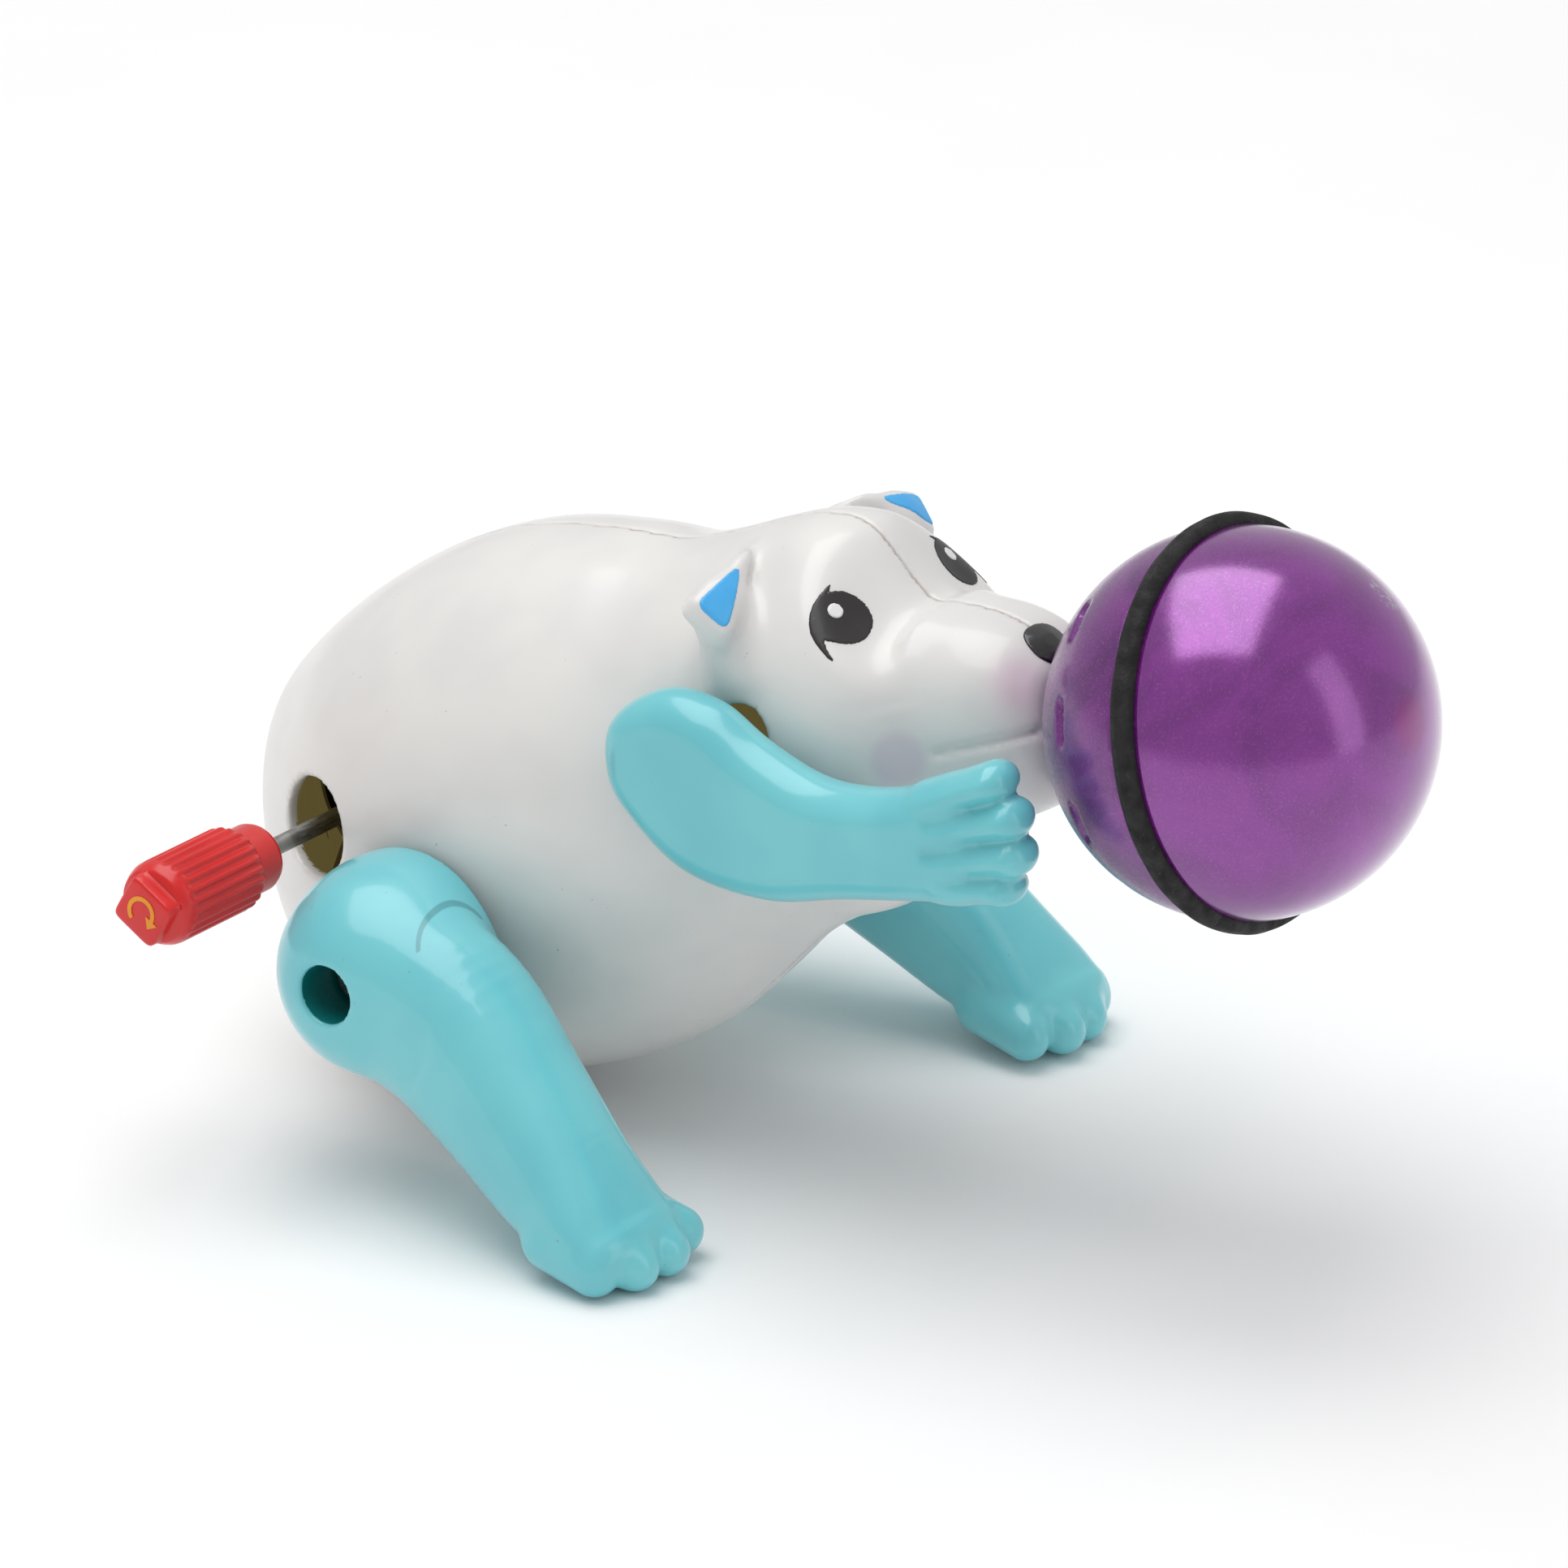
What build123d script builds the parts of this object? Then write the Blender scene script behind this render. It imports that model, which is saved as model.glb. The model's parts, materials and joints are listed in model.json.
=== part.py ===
from build123d import *
import os
from math import atan2, cos, pi, radians, sin, sqrt

# Wind-up polar bear that holds a ball on a shaft in front of its nose.
# Row frame, millimetres: X forwards, Y to the bear's left, Z up from the floor.
# The origin is the middle of the flat under the rump, on the mid-plane.
# The body, its motor and the ball are drawn in the bear's own straight frame, whose x axis is the
# ball's shaft and whose origin is the ball's centre. That frame is pitched nose-up.

# ---- driving dimensions -------------------------------------------------------------------------
PITCH = 14.1                      # nose-up angle of the bear, degrees
BALL_CENTRE = (66.0, 0.0, 40.5)
BALL_R = 13.5
BALL_WALL = 1.2
RING_R = 0.95                     # rubber ring, radius of its round section
RING_CENTRE_R = 13.45

WALL = 1.6                        # shell wall
PLAY = 0.05                       # radial clearance of every running fit

ARM_IN = 12.2                     # arm, distance of its faces from the mid-plane
ARM_OUT = 17.4
LEG_IN = 17.7                     # leg hub, distance of its faces from the mid-plane
LEG_OUT = 29.0
FOOT_MID = 26.0                   # middle of each foot from the mid-plane

KEY_AXIS = (-70.8, -1.8)          # lateral axes as (x, z) in the bear's frame
HIP_AXIS = (-61.0, -9.8)
SHOULDER_AXIS = (-36.9, 2.8)

WIRE_R = 0.65                     # key wire
AXLE_R = 1.0                      # shoulder axle
HIP_AXLE_R = 2.0
ARBOR_R = 0.6                     # gear arbors
BALL_SHAFT_R = 0.75
SIDE_HOLE_R = 3.5                 # round holes in the shell round the key wire and the arm bosses

PLATE_IN = 5.9                    # motor plates, inner and outer faces from the mid-plane
PLATE_OUT = 6.6
PILLAR_R = 1.0
PILLARS = [(-77.0, -9.5), (-52.5, 9.3), (-46.5, -8.5), (-68.0, -14.0)]
BRACKET_X = -43.0                 # bearing bracket for the rear end of the ball shaft

MODULE = 0.5                      # gear module
GREAT_TEETH = 32
SECOND_PINION_TEETH = 8
SECOND_TEETH = 30
CROWN_PINION_TEETH = 8
CROWN_TEETH = 24
BALL_PINION_TEETH = 10
THIRD_TEETH = 28
GOVERNOR_TEETH = 8

SHELL_SCREWS = [(-60.5, -18.2), (-41.0, -9.0), (-43.0, 9.0), (-26.0, 6.5)]

# Body and head cross-sections in the bear's frame: x, height of the centre, half width, half height
BODY_SECTIONS = [
    (-84.0, -4.4, 3.5, 5.0),
    (-81.5, -5.9, 8.5, 11.6),
    (-78.0, -6.7, 12.0, 15.2),
    (-73.0, -6.2, 15.0, 17.6),
    (-66.0, -4.9, 16.8, 19.1),
    (-58.0, -3.9, 17.2, 19.6),
    (-50.0, -3.0, 15.9, 18.2),
    (-44.0, -1.7, 13.6, 16.0),
    (-40.0, -0.2, 12.0, 14.9),
    (-36.0, 1.0, 11.4, 14.4),
    (-31.0, 1.7, 11.4, 14.1),
    (-26.0, 2.1, 10.2, 11.9),
    (-21.5, 1.7, 8.0, 9.1),
    (-17.0, 1.1, 6.2, 6.7),
    (-14.6, 0.9, 5.2, 5.6),
]
SHOULDER_COLUMN = 8.5             # half length of the column that holds the shoulder axle
SHOULDER_COLUMN_R = 1.75          # it passes just over the ball's shaft


# ---- placing ------------------------------------------------------------------------------------
BEAR = Plane(
    origin=BALL_CENTRE,
    x_dir=(cos(radians(PITCH)), 0, sin(radians(PITCH))),
    z_dir=(-sin(radians(PITCH)), 0, cos(radians(PITCH))),
)


def side_plane(y, axis=(0, 0)):
    """Plane facing the bear's right at y, its origin on a lateral axis; sketch x, y are bear x, z."""
    origin = BEAR.from_local_coords((axis[0], y, axis[1]))
    return Plane(origin=origin, x_dir=BEAR.x_dir, z_dir=(0, -1, 0))


def cross_plane(x):
    """Plane across the ball shaft at x, facing forwards; its sketch x, y are the bear's y, z."""
    return Plane(origin=BEAR.from_local_coords((x, 0, 0)), x_dir=(0, 1, 0), z_dir=BEAR.x_dir)


def finish(builder, name):
    """Label a finished piece and write its file."""
    builder.part.label = name
    export_step(builder.part, f"parts/{name}.step")


os.makedirs("parts", exist_ok=True)

# ---- gear geometry ------------------------------------------------------------------------------
ADDENDUM = 0.42
DEDENDUM = 0.66
TOOTH_THIN = 0.10                 # taken off each tooth's thickness, for backlash


def involute_angle(radius, base):
    """Polar angle that an involute has turned through at a radius."""
    if radius <= base:
        return 0.0
    roll = sqrt((radius / base) ** 2 - 1)
    return roll - atan2(roll, 1)


def gear_outline(teeth, phase):
    """Closed outline of a spur gear with one tooth centred at the angle phase, in radians."""
    pitch_r = MODULE * teeth / 2
    base_r = pitch_r * cos(radians(20))
    root_r = pitch_r - DEDENDUM
    tip_r = pitch_r + ADDENDUM
    half = (pi * MODULE / 2 - TOOTH_THIN) / 2 / pitch_r + involute_angle(pitch_r, base_r)
    radii = [root_r, max(base_r, root_r + 0.05), pitch_r, tip_r]
    flank = [(r, half - involute_angle(r, base_r)) for r in radii]
    points = []
    for tooth in range(teeth):
        middle = phase + 2 * pi * tooth / teeth
        sides = [(r, -a) for r, a in flank] + [(r, a) for r, a in reversed(flank)]
        points += [(r * cos(middle + a), r * sin(middle + a)) for r, a in sides]
    return points


def meshed_phase(start, teeth, phase, end, follower_teeth):
    """Phase that puts a follower gear at end in mesh with the gear at start."""
    line = atan2(end[1] - start[1], end[0] - start[0])
    return line + pi - (pi - teeth * (line - phase)) / follower_teeth


def mesh_distance(first, second):
    return MODULE * (first + second) / 2


# Arbor positions in the bear's frame. Each one lies at its gear pair's centre distance.
def arbor_ahead(start, distance, rise):
    return (start[0] + sqrt(distance ** 2 - rise ** 2), start[1] + rise)


SECOND_AXIS = arbor_ahead(KEY_AXIS, mesh_distance(GREAT_TEETH, SECOND_PINION_TEETH), 4.8)
CROWN_AXIS = arbor_ahead(
    SECOND_AXIS, mesh_distance(SECOND_TEETH, CROWN_PINION_TEETH), -SECOND_AXIS[1])
GOVERNOR_DROP = mesh_distance(THIRD_TEETH, GOVERNOR_TEETH)
GOVERNOR_AXIS = (CROWN_AXIS[0], CROWN_AXIS[1] - GOVERNOR_DROP)

GREAT_PHASE = 0.0
SECOND_PINION_PHASE = meshed_phase(
    KEY_AXIS, GREAT_TEETH, GREAT_PHASE, SECOND_AXIS, SECOND_PINION_TEETH)
SECOND_PHASE = 0.0
CROWN_PINION_PHASE = meshed_phase(
    SECOND_AXIS, SECOND_TEETH, SECOND_PHASE, CROWN_AXIS, CROWN_PINION_TEETH)
THIRD_PHASE = 0.0
GOVERNOR_PHASE = meshed_phase(
    CROWN_AXIS, THIRD_TEETH, THIRD_PHASE, GOVERNOR_AXIS, GOVERNOR_TEETH)

CROWN_R = MODULE * CROWN_TEETH / 2
CROWN_FACE = 0.45                 # half the radial length of a crown tooth
BALL_PINION_X = CROWN_AXIS[0] + CROWN_R

# ---- body and head ------------------------------------------------------------------------------
with BuildPart() as bear_form:
    for x, centre_z, half_width, half_height in BODY_SECTIONS:
        with BuildSketch(cross_plane(x)):
            with Locations((0, centre_z)):
                Ellipse(half_width, half_height)
    loft()
    for side in (-1, 1):
        with Locations(BEAR.from_local_coords((-34.6, side * 8.0, 10.8))):
            Sphere(3.3)
    # small stub tail
    with Locations(BEAR.from_local_coords((-82.6, 0, 1.2))):
        Sphere(2.6)

with BuildPart() as hollow:
    for x, centre_z, half_width, half_height in BODY_SECTIONS[1:-2]:
        with BuildSketch(cross_plane(x)):
            with Locations((0, centre_z)):
                Ellipse(half_width - WALL, half_height - WALL)
    loft()
    # screw columns and the shoulder axle's column stay solid, from wall to wall
    with BuildSketch(side_plane(20)):
        with Locations(*SHELL_SCREWS):
            Circle(2.1)
        with Locations(SHOULDER_AXIS):
            Circle(SHOULDER_COLUMN_R)
    extrude(amount=40, mode=Mode.SUBTRACT)
    # web that hangs the shoulder axle's column from the top of the shell
    with BuildSketch(side_plane(SHOULDER_COLUMN, SHOULDER_AXIS)):
        with Locations((0, 7)):
            Rectangle(2.4, 14)
    extrude(amount=2 * SHOULDER_COLUMN, mode=Mode.SUBTRACT)
    # hip columns and the posts that clamp the motor plates, on both sides
    for side in (-1, 1):
        with BuildSketch(side_plane(side * PLATE_OUT)):
            with Locations(*PILLARS):
                Circle(1.5)
            with Locations(HIP_AXIS):
                Circle(3.2)
        extrude(amount=-side * 20, mode=Mode.SUBTRACT)

SCREW_HEAD_Y = 5.0                # depth at which the shell screws' heads seat

with BuildPart() as shell_pair:
    add(bear_form.part)
    add(hollow.part, mode=Mode.SUBTRACT)
    # shoulder bore, wide shoulder holes, hip bore
    with BuildSketch(side_plane(20)):
        with Locations(SHOULDER_AXIS):
            Circle(AXLE_R)
        with Locations(HIP_AXIS):
            Circle(HIP_AXLE_R)
    extrude(amount=40, mode=Mode.SUBTRACT)
    for side in (-1, 1):
        with BuildSketch(side_plane(side * SHOULDER_COLUMN, SHOULDER_AXIS)):
            Circle(SIDE_HOLE_R)
        extrude(amount=-side * 12, mode=Mode.SUBTRACT)
    # key hole, on the bear's right only
    with BuildSketch(side_plane(-10)):
        with Locations(KEY_AXIS):
            Circle(SIDE_HOLE_R)
    extrude(amount=12, mode=Mode.SUBTRACT)
    # muzzle bore for the bush
    with BuildSketch(cross_plane(-30)):
        Circle(1.8)
    extrude(amount=20, mode=Mode.SUBTRACT)
    # screw holes, entered from the bear's left
    with BuildSketch(side_plane(-SCREW_HEAD_Y)):
        with Locations(*SHELL_SCREWS):
            Circle(0.8)
    extrude(amount=-2 * SCREW_HEAD_Y, mode=Mode.SUBTRACT)
    with BuildSketch(side_plane(SCREW_HEAD_Y)):
        with Locations(*SHELL_SCREWS):
            Circle(1.8)
    extrude(amount=-20, mode=Mode.SUBTRACT)
    # flat under the rump, level with the soles
    with BuildSketch(Plane.XY):
        Rectangle(60, 40)
    extrude(amount=-5, mode=Mode.SUBTRACT)

with BuildPart() as body_shell_right:
    add(shell_pair.part)
    split(bisect_by=Plane.XZ, keep=Keep.TOP)
finish(body_shell_right, "body_shell_right")

with BuildPart() as body_shell_left:
    add(shell_pair.part)
    split(bisect_by=Plane.XZ, keep=Keep.BOTTOM)
finish(body_shell_left, "body_shell_left")

with BuildPart() as shell_screws:
    for x, z in SHELL_SCREWS:
        with BuildSketch(side_plane(SCREW_HEAD_Y)):
            with Locations((x, z)):
                Circle(1.6)
        extrude(amount=-1.2)
        with BuildSketch(side_plane(SCREW_HEAD_Y)):
            with Locations((x, z)):
                Circle(0.8)
        extrude(amount=9)
finish(shell_screws, "shell_screws")

# ---- ball ---------------------------------------------------------------------------------------
GROOVE_R = RING_CENTRE_R - RING_R
REAR_POST = (3.6, 0.5)            # radius and end of the moulded post that grips the shaft
FRONT_BOSS = (2.9, 10.8)          # radius and end of the moulded boss inside the front pole


def ball_half(direction, post_r, post_end):
    """Section of one half of the ball, direction -1 rear or +1 front, to be turned about x."""
    inner = BALL_R - BALL_WALL
    rim = sqrt(BALL_R ** 2 - RING_R ** 2)
    pole = sqrt(inner ** 2 - post_r ** 2)
    slope = pi / 4
    with BuildSketch() as section:
        with BuildLine():
            Polyline((0, GROOVE_R), (direction * RING_R, GROOVE_R), (direction * RING_R, rim))
            ThreePointArc(
                (direction * RING_R, rim),
                (direction * BALL_R * cos(slope), BALL_R * sin(slope)),
                (direction * BALL_R, 0))
            Polyline(
                (direction * BALL_R, 0),
                (direction * post_end, 0),
                (direction * post_end, post_r),
                (direction * pole, post_r))
            ThreePointArc(
                (direction * pole, post_r),
                (direction * inner * cos(slope), inner * sin(slope)),
                (0, inner))
            Line((0, inner), (0, GROOVE_R))
        make_face()
    return section.sketch


SHAFT_REAR = BRACKET_X - 5.9
SHAFT_FRONT = -1.0                # the shaft ends inside the rear post
SIDE_SECTION = side_plane(0)
BALL_AXIS = Axis(BALL_CENTRE, BEAR.x_dir)

with BuildPart() as ball_rear_shell:
    with BuildSketch(SIDE_SECTION):
        add(ball_half(-1, *REAR_POST))
    revolve(axis=BALL_AXIS)
    with BuildSketch(cross_plane(-15)):
        Circle(BALL_SHAFT_R)
    extrude(amount=15 + SHAFT_FRONT, mode=Mode.SUBTRACT)
finish(ball_rear_shell, "ball_rear_shell")

with BuildPart() as ball_front_shell:
    with BuildSketch(SIDE_SECTION):
        add(ball_half(1, *FRONT_BOSS))
    revolve(axis=BALL_AXIS)
finish(ball_front_shell, "ball_front_shell")

with BuildPart() as ball_ring:
    with BuildSketch(SIDE_SECTION):
        with Locations((0, RING_CENTRE_R)):
            Circle(RING_R)
    revolve(axis=BALL_AXIS)
finish(ball_ring, "ball_ring")

with BuildPart() as ball_shaft:
    with BuildSketch(cross_plane(SHAFT_REAR)):
        Circle(BALL_SHAFT_R)
    extrude(amount=SHAFT_FRONT - SHAFT_REAR)
finish(ball_shaft, "ball_shaft")

with BuildPart() as ball_pinion:
    with BuildSketch(cross_plane(BALL_PINION_X - 0.8)):
        with BuildLine():
            Polyline(gear_outline(BALL_PINION_TEETH, pi / BALL_PINION_TEETH), close=True)
        make_face()
        Circle(BALL_SHAFT_R, mode=Mode.SUBTRACT)
    extrude(amount=1.6)
finish(ball_pinion, "ball_pinion")

with BuildPart() as muzzle_bush:
    with BuildSketch(cross_plane(-18.5)):
        Circle(1.8)
        Circle(BALL_SHAFT_R + PLAY, mode=Mode.SUBTRACT)
    extrude(amount=4.2)
finish(muzzle_bush, "muzzle_bush")

# ---- arms ---------------------------------------------------------------------------------------
ARM_BOSS_R = 2.2
ARM_BOSS_IN = 9.2                 # the boss reaches in through the shoulder hole to here

# The elbow's inner bevel starts at a line in the arm's inner face and deepens down and backwards
RELIEF_START = (-40.2, 3.0)       # a point on that line
RELIEF_TURN = 48.2                # fall of the bevel's direction below backwards, degrees
RELIEF_SLOPE = 0.5
RELIEF_REACH = 12.0
RELIEF_LENGTH = 40.0
RELIEF_PLANE = Plane(
    origin=BEAR.from_local_coords((RELIEF_START[0], -ARM_IN, RELIEF_START[1])),
    x_dir=BEAR.x_dir * -cos(radians(RELIEF_TURN)) + BEAR.z_dir * -sin(radians(RELIEF_TURN)),
    z_dir=BEAR.x_dir * -sin(radians(RELIEF_TURN)) + BEAR.z_dir * cos(radians(RELIEF_TURN)),
)

with BuildPart() as arm_right:
    with BuildSketch(side_plane(-ARM_IN)):
        with BuildLine():
            Spline(
                (-41.7, -0.6), (-37.9, -5.6), (-31.3, -7.9), (-24.5, -7.6), (-17.0, -7.6),
                (-11.4, -8.0), (-8.8, -5.8), (-8.3, -1.0), (-9.8, 1.4), (-14.5, 0.9),
                (-20.0, 0.3), (-25.0, 1.1), (-29.4, 3.7), (-32.8, 6.6), (-36.9, 7.7),
                (-41.3, 6.0), (-42.6, 2.6),
                periodic=True)
        make_face()
    extrude(amount=ARM_OUT - ARM_IN)
    fillet(arm_right.faces().filter_by(Axis.Y).edges(), 1.5)
    # bevel on the inside of the elbow, so that the arm clears the chest as it swings down
    with BuildSketch(RELIEF_PLANE):
        with BuildLine():
            Polyline(
                (0, 0), (RELIEF_REACH, 0), (RELIEF_REACH, RELIEF_REACH * RELIEF_SLOPE),
                close=True)
        make_face()
    extrude(amount=RELIEF_LENGTH, both=True, mode=Mode.SUBTRACT)
    with BuildSketch(side_plane(-ARM_IN - 1, SHOULDER_AXIS)):
        Circle(ARM_BOSS_R)
    extrude(amount=-(ARM_IN + 1 - ARM_BOSS_IN))
    with BuildSketch(side_plane(-ARM_BOSS_IN, SHOULDER_AXIS)):
        Circle(AXLE_R + PLAY)
    extrude(amount=ARM_OUT - ARM_BOSS_IN - 1.2, mode=Mode.SUBTRACT)
finish(arm_right, "arm_right")

with BuildPart() as arm_left:
    mirror(arm_right.part, about=Plane.XZ)
finish(arm_left, "arm_left")

with BuildPart() as shoulder_axle:
    with BuildSketch(side_plane(ARM_OUT - 1.6, SHOULDER_AXIS)):
        Circle(AXLE_R)
    extrude(amount=2 * (ARM_OUT - 1.6))
finish(shoulder_axle, "shoulder_axle")

# ---- legs ---------------------------------------------------------------------------------------
hip_point = BEAR.from_local_coords((HIP_AXIS[0], 0, HIP_AXIS[1]))
HIP = (hip_point.X, hip_point.Z)
HUB_R = 7.4
HUB_WEB_IN = 22.0                 # the screw clamps this web between the axle and its head
HUB_WEB_OUT = 23.6
COUNTERBORE_R = 2.0

# Shank and foot: X, Z, slope of the section's normal below the horizontal, distance of the
# section's middle from the mid-plane, half width, half depth
LEG_SECTIONS = [
    (HIP[0] + 0.5, HIP[1] - 0.5, 38.0, 23.2, 4.4, 6.0),
    (17.0, 14.0, 38.0, 23.8, 4.5, 5.7),
    (22.5, 9.6, 38.0, 24.6, 4.4, 4.9),
    (27.5, 5.8, 33.0, 25.4, 4.8, 4.3),
    (31.5, 3.3, 18.0, 25.9, 5.6, 3.6),
    (35.4, 2.0, 8.0, 26.0, 5.0, 2.2),
]

with BuildPart() as leg_right:
    for x, z, slope, middle, half_width, half_depth in LEG_SECTIONS:
        heading = (cos(radians(slope)), 0, -sin(radians(slope)))
        with BuildSketch(Plane(origin=(x, -middle, z), x_dir=(0, 1, 0), z_dir=heading)):
            Ellipse(half_width, half_depth)
    loft()
    with BuildSketch(side_plane(-LEG_IN, HIP_AXIS)):
        Circle(HUB_R)
    extrude(amount=LEG_OUT - LEG_IN)
    fillet(
        leg_right.edges().filter_by(GeomType.CIRCLE).group_by(Axis.Y)[0], 3.2)
    with BuildSketch(side_plane(-LEG_IN, HIP_AXIS)):
        Circle(HIP_AXLE_R + PLAY)
    extrude(amount=HUB_WEB_IN - LEG_IN, mode=Mode.SUBTRACT)
    with BuildSketch(side_plane(-LEG_IN, HIP_AXIS)):
        Circle(1.0 + PLAY)
    extrude(amount=LEG_OUT - LEG_IN, mode=Mode.SUBTRACT)
    with BuildSketch(side_plane(-HUB_WEB_OUT, HIP_AXIS)):
        Circle(COUNTERBORE_R)
    extrude(amount=LEG_OUT - HUB_WEB_OUT + 1, mode=Mode.SUBTRACT)
    # flat sole
    with BuildSketch(Plane.XY):
        Rectangle(100, 80)
    extrude(amount=-6, mode=Mode.SUBTRACT)
finish(leg_right, "leg_right")

with BuildPart() as leg_left:
    mirror(leg_right.part, about=Plane.XZ)
finish(leg_left, "leg_left")

AXLE_END = HUB_WEB_IN - 0.1

with BuildPart() as hip_axle:
    with BuildSketch(side_plane(AXLE_END, HIP_AXIS)):
        Circle(HIP_AXLE_R)
    extrude(amount=2 * AXLE_END)
    for side in (-1, 1):
        with BuildSketch(side_plane(side * AXLE_END, HIP_AXIS)):
            Circle(1.0)
        extrude(amount=side * 5, mode=Mode.SUBTRACT)
finish(hip_axle, "hip_axle")

with BuildPart() as hip_screws:
    for side in (-1, 1):
        with BuildSketch(side_plane(side * (HUB_WEB_OUT + 0.03), HIP_AXIS)):
            Circle(COUNTERBORE_R - 0.15)
        extrude(amount=-side * 1.2)
        with BuildSketch(side_plane(side * (AXLE_END - 4), HIP_AXIS)):
            Circle(1.0)
        extrude(amount=-side * (HUB_WEB_OUT + 0.03 - AXLE_END + 4))
finish(hip_screws, "hip_screws")

# ---- motor frame --------------------------------------------------------------------------------
ARBORS = [SECOND_AXIS, CROWN_AXIS, GOVERNOR_AXIS]


def motor_plate(y):
    """One motor plate, its face at y and its thickness towards the bear's right."""
    with BuildPart() as plate:
        with BuildSketch(side_plane(y)):
            with Locations(*PILLARS):
                Circle(1.6)
            with Locations(KEY_AXIS, SECOND_AXIS, (BRACKET_X + 0.2, 0)):
                Circle(2.2)
            make_hull()
            with Locations(*ARBORS):
                Circle(ARBOR_R + PLAY, mode=Mode.SUBTRACT)
            with Locations(KEY_AXIS):
                Circle(WIRE_R + PLAY, mode=Mode.SUBTRACT)
            with Locations(HIP_AXIS):
                Circle(HIP_AXLE_R + 0.3, mode=Mode.SUBTRACT)
            with Locations(*PILLARS):
                Circle(PILLAR_R / 2, mode=Mode.SUBTRACT)
        extrude(amount=PLATE_OUT - PLATE_IN)
    return plate.part


with BuildPart() as motor_plate_right:
    add(motor_plate(-PLATE_IN))
finish(motor_plate_right, "motor_plate_right")

with BuildPart() as motor_plate_left:
    add(motor_plate(PLATE_OUT))
finish(motor_plate_left, "motor_plate_left")

with BuildPart() as motor_pillars:
    with BuildSketch(side_plane(PLATE_IN)):
        with Locations(*PILLARS):
            Circle(PILLAR_R)
    extrude(amount=2 * PLATE_IN)
    with BuildSketch(side_plane(PLATE_OUT)):
        with Locations(*PILLARS):
            Circle(PILLAR_R / 2)
    extrude(amount=2 * PLATE_OUT)
finish(motor_pillars, "motor_pillars")

with BuildPart() as shaft_bracket:
    with BuildSketch(cross_plane(BRACKET_X - 0.5)):
        Rectangle(2 * PLATE_IN, 5.0)
        Circle(BALL_SHAFT_R + PLAY, mode=Mode.SUBTRACT)
    extrude(amount=1.0)
finish(shaft_bracket, "shaft_bracket")

# ---- spring, key and great wheel ----------------------------------------------------------------
SPRING_FACE = -2.9                # the spring lies between this face and the right plate
SPRING_WIDTH = 2.7
SPRING_START_R = 1.4
SPRING_PITCH = 1.05
SPRING_STRIP = 0.3
SPRING_HALF_TURNS = 12

with BuildPart() as mainspring:
    with BuildSketch(side_plane(SPRING_FACE, KEY_AXIS)):
        with BuildLine():
            for turn in range(SPRING_HALF_TURNS):
                side = 1 if turn % 2 == 0 else -1
                radius = SPRING_START_R + turn * SPRING_PITCH / 2
                CenterArc((-side * SPRING_PITCH / 4, 0), radius, 90 - side * 90, 180)
        trace(line_width=SPRING_STRIP)
    extrude(amount=SPRING_WIDTH)
finish(mainspring, "mainspring")

KNOB_IN = -21.3
COLLAR_END = -24.3
BARREL_END = -33.2
KNOB_END = -34.5
COLLAR_R = 2.5
BARREL_R = 3.1
RIB_R = 0.2
RIB_COUNT = 24
WIRE_END = -30.0

with BuildPart() as key_shaft:
    with BuildSketch(side_plane(PLATE_OUT, KEY_AXIS)):
        Circle(WIRE_R)
    extrude(amount=PLATE_OUT - WIRE_END)
finish(key_shaft, "key_shaft")

with BuildPart() as key_knob:
    with BuildSketch(side_plane(KNOB_IN, KEY_AXIS)):
        Circle(COLLAR_R)
    extrude(amount=KNOB_IN - COLLAR_END)
    with BuildSketch(side_plane(COLLAR_END, KEY_AXIS)):
        Circle(BARREL_R - RIB_R)
        with PolarLocations(BARREL_R - RIB_R, RIB_COUNT):
            Circle(RIB_R)
    extrude(amount=COLLAR_END - BARREL_END)
    with BuildSketch(side_plane(BARREL_END, KEY_AXIS)):
        Rectangle(3.9, 3.9, rotation=45)
    extrude(amount=BARREL_END - KNOB_END)
    with BuildSketch(side_plane(KNOB_IN, KEY_AXIS)):
        Circle(WIRE_R)
    extrude(amount=KNOB_IN - WIRE_END, mode=Mode.SUBTRACT)
finish(key_knob, "key_knob")

GREAT_FACE = -0.8
GREAT_THICK = 1.0
RATCHET_TEETH = 12
RATCHET_R = 3.4
RATCHET_ROOT = 2.7
RATCHET_THICK = 0.7
CLICK_PIVOT = (5.4, 3.6)

with BuildPart() as great_wheel:
    with BuildSketch(side_plane(GREAT_FACE, KEY_AXIS)):
        with BuildLine():
            Polyline(gear_outline(GREAT_TEETH, GREAT_PHASE), close=True)
        make_face()
        Circle(WIRE_R, mode=Mode.SUBTRACT)
        with PolarLocations(5.2, 3, start_angle=120):
            Circle(1.3, mode=Mode.SUBTRACT)
    extrude(amount=GREAT_THICK)
finish(great_wheel, "great_wheel")

with BuildPart() as ratchet_wheel:
    with BuildSketch(side_plane(GREAT_FACE - GREAT_THICK, KEY_AXIS)):
        with BuildLine():
            corners = []
            for tooth in range(RATCHET_TEETH):
                angle = 2 * pi * tooth / RATCHET_TEETH
                corners.append((RATCHET_ROOT * cos(angle), RATCHET_ROOT * sin(angle)))
                corners.append((RATCHET_R * cos(angle), RATCHET_R * sin(angle)))
            Polyline(corners, close=True)
        make_face()
        Circle(WIRE_R, mode=Mode.SUBTRACT)
    extrude(amount=RATCHET_THICK)
finish(ratchet_wheel, "ratchet_wheel")

with BuildPart() as ratchet_click:
    with BuildSketch(side_plane(GREAT_FACE - GREAT_THICK, KEY_AXIS)):
        with BuildLine():
            Polyline((3.5, 0.1), (6.2, 3.2), (4.6, 4.0), close=True)
        make_face()
        with Locations(CLICK_PIVOT):
            Circle(0.9)
    extrude(amount=RATCHET_THICK)
finish(ratchet_click, "ratchet_click")

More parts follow.
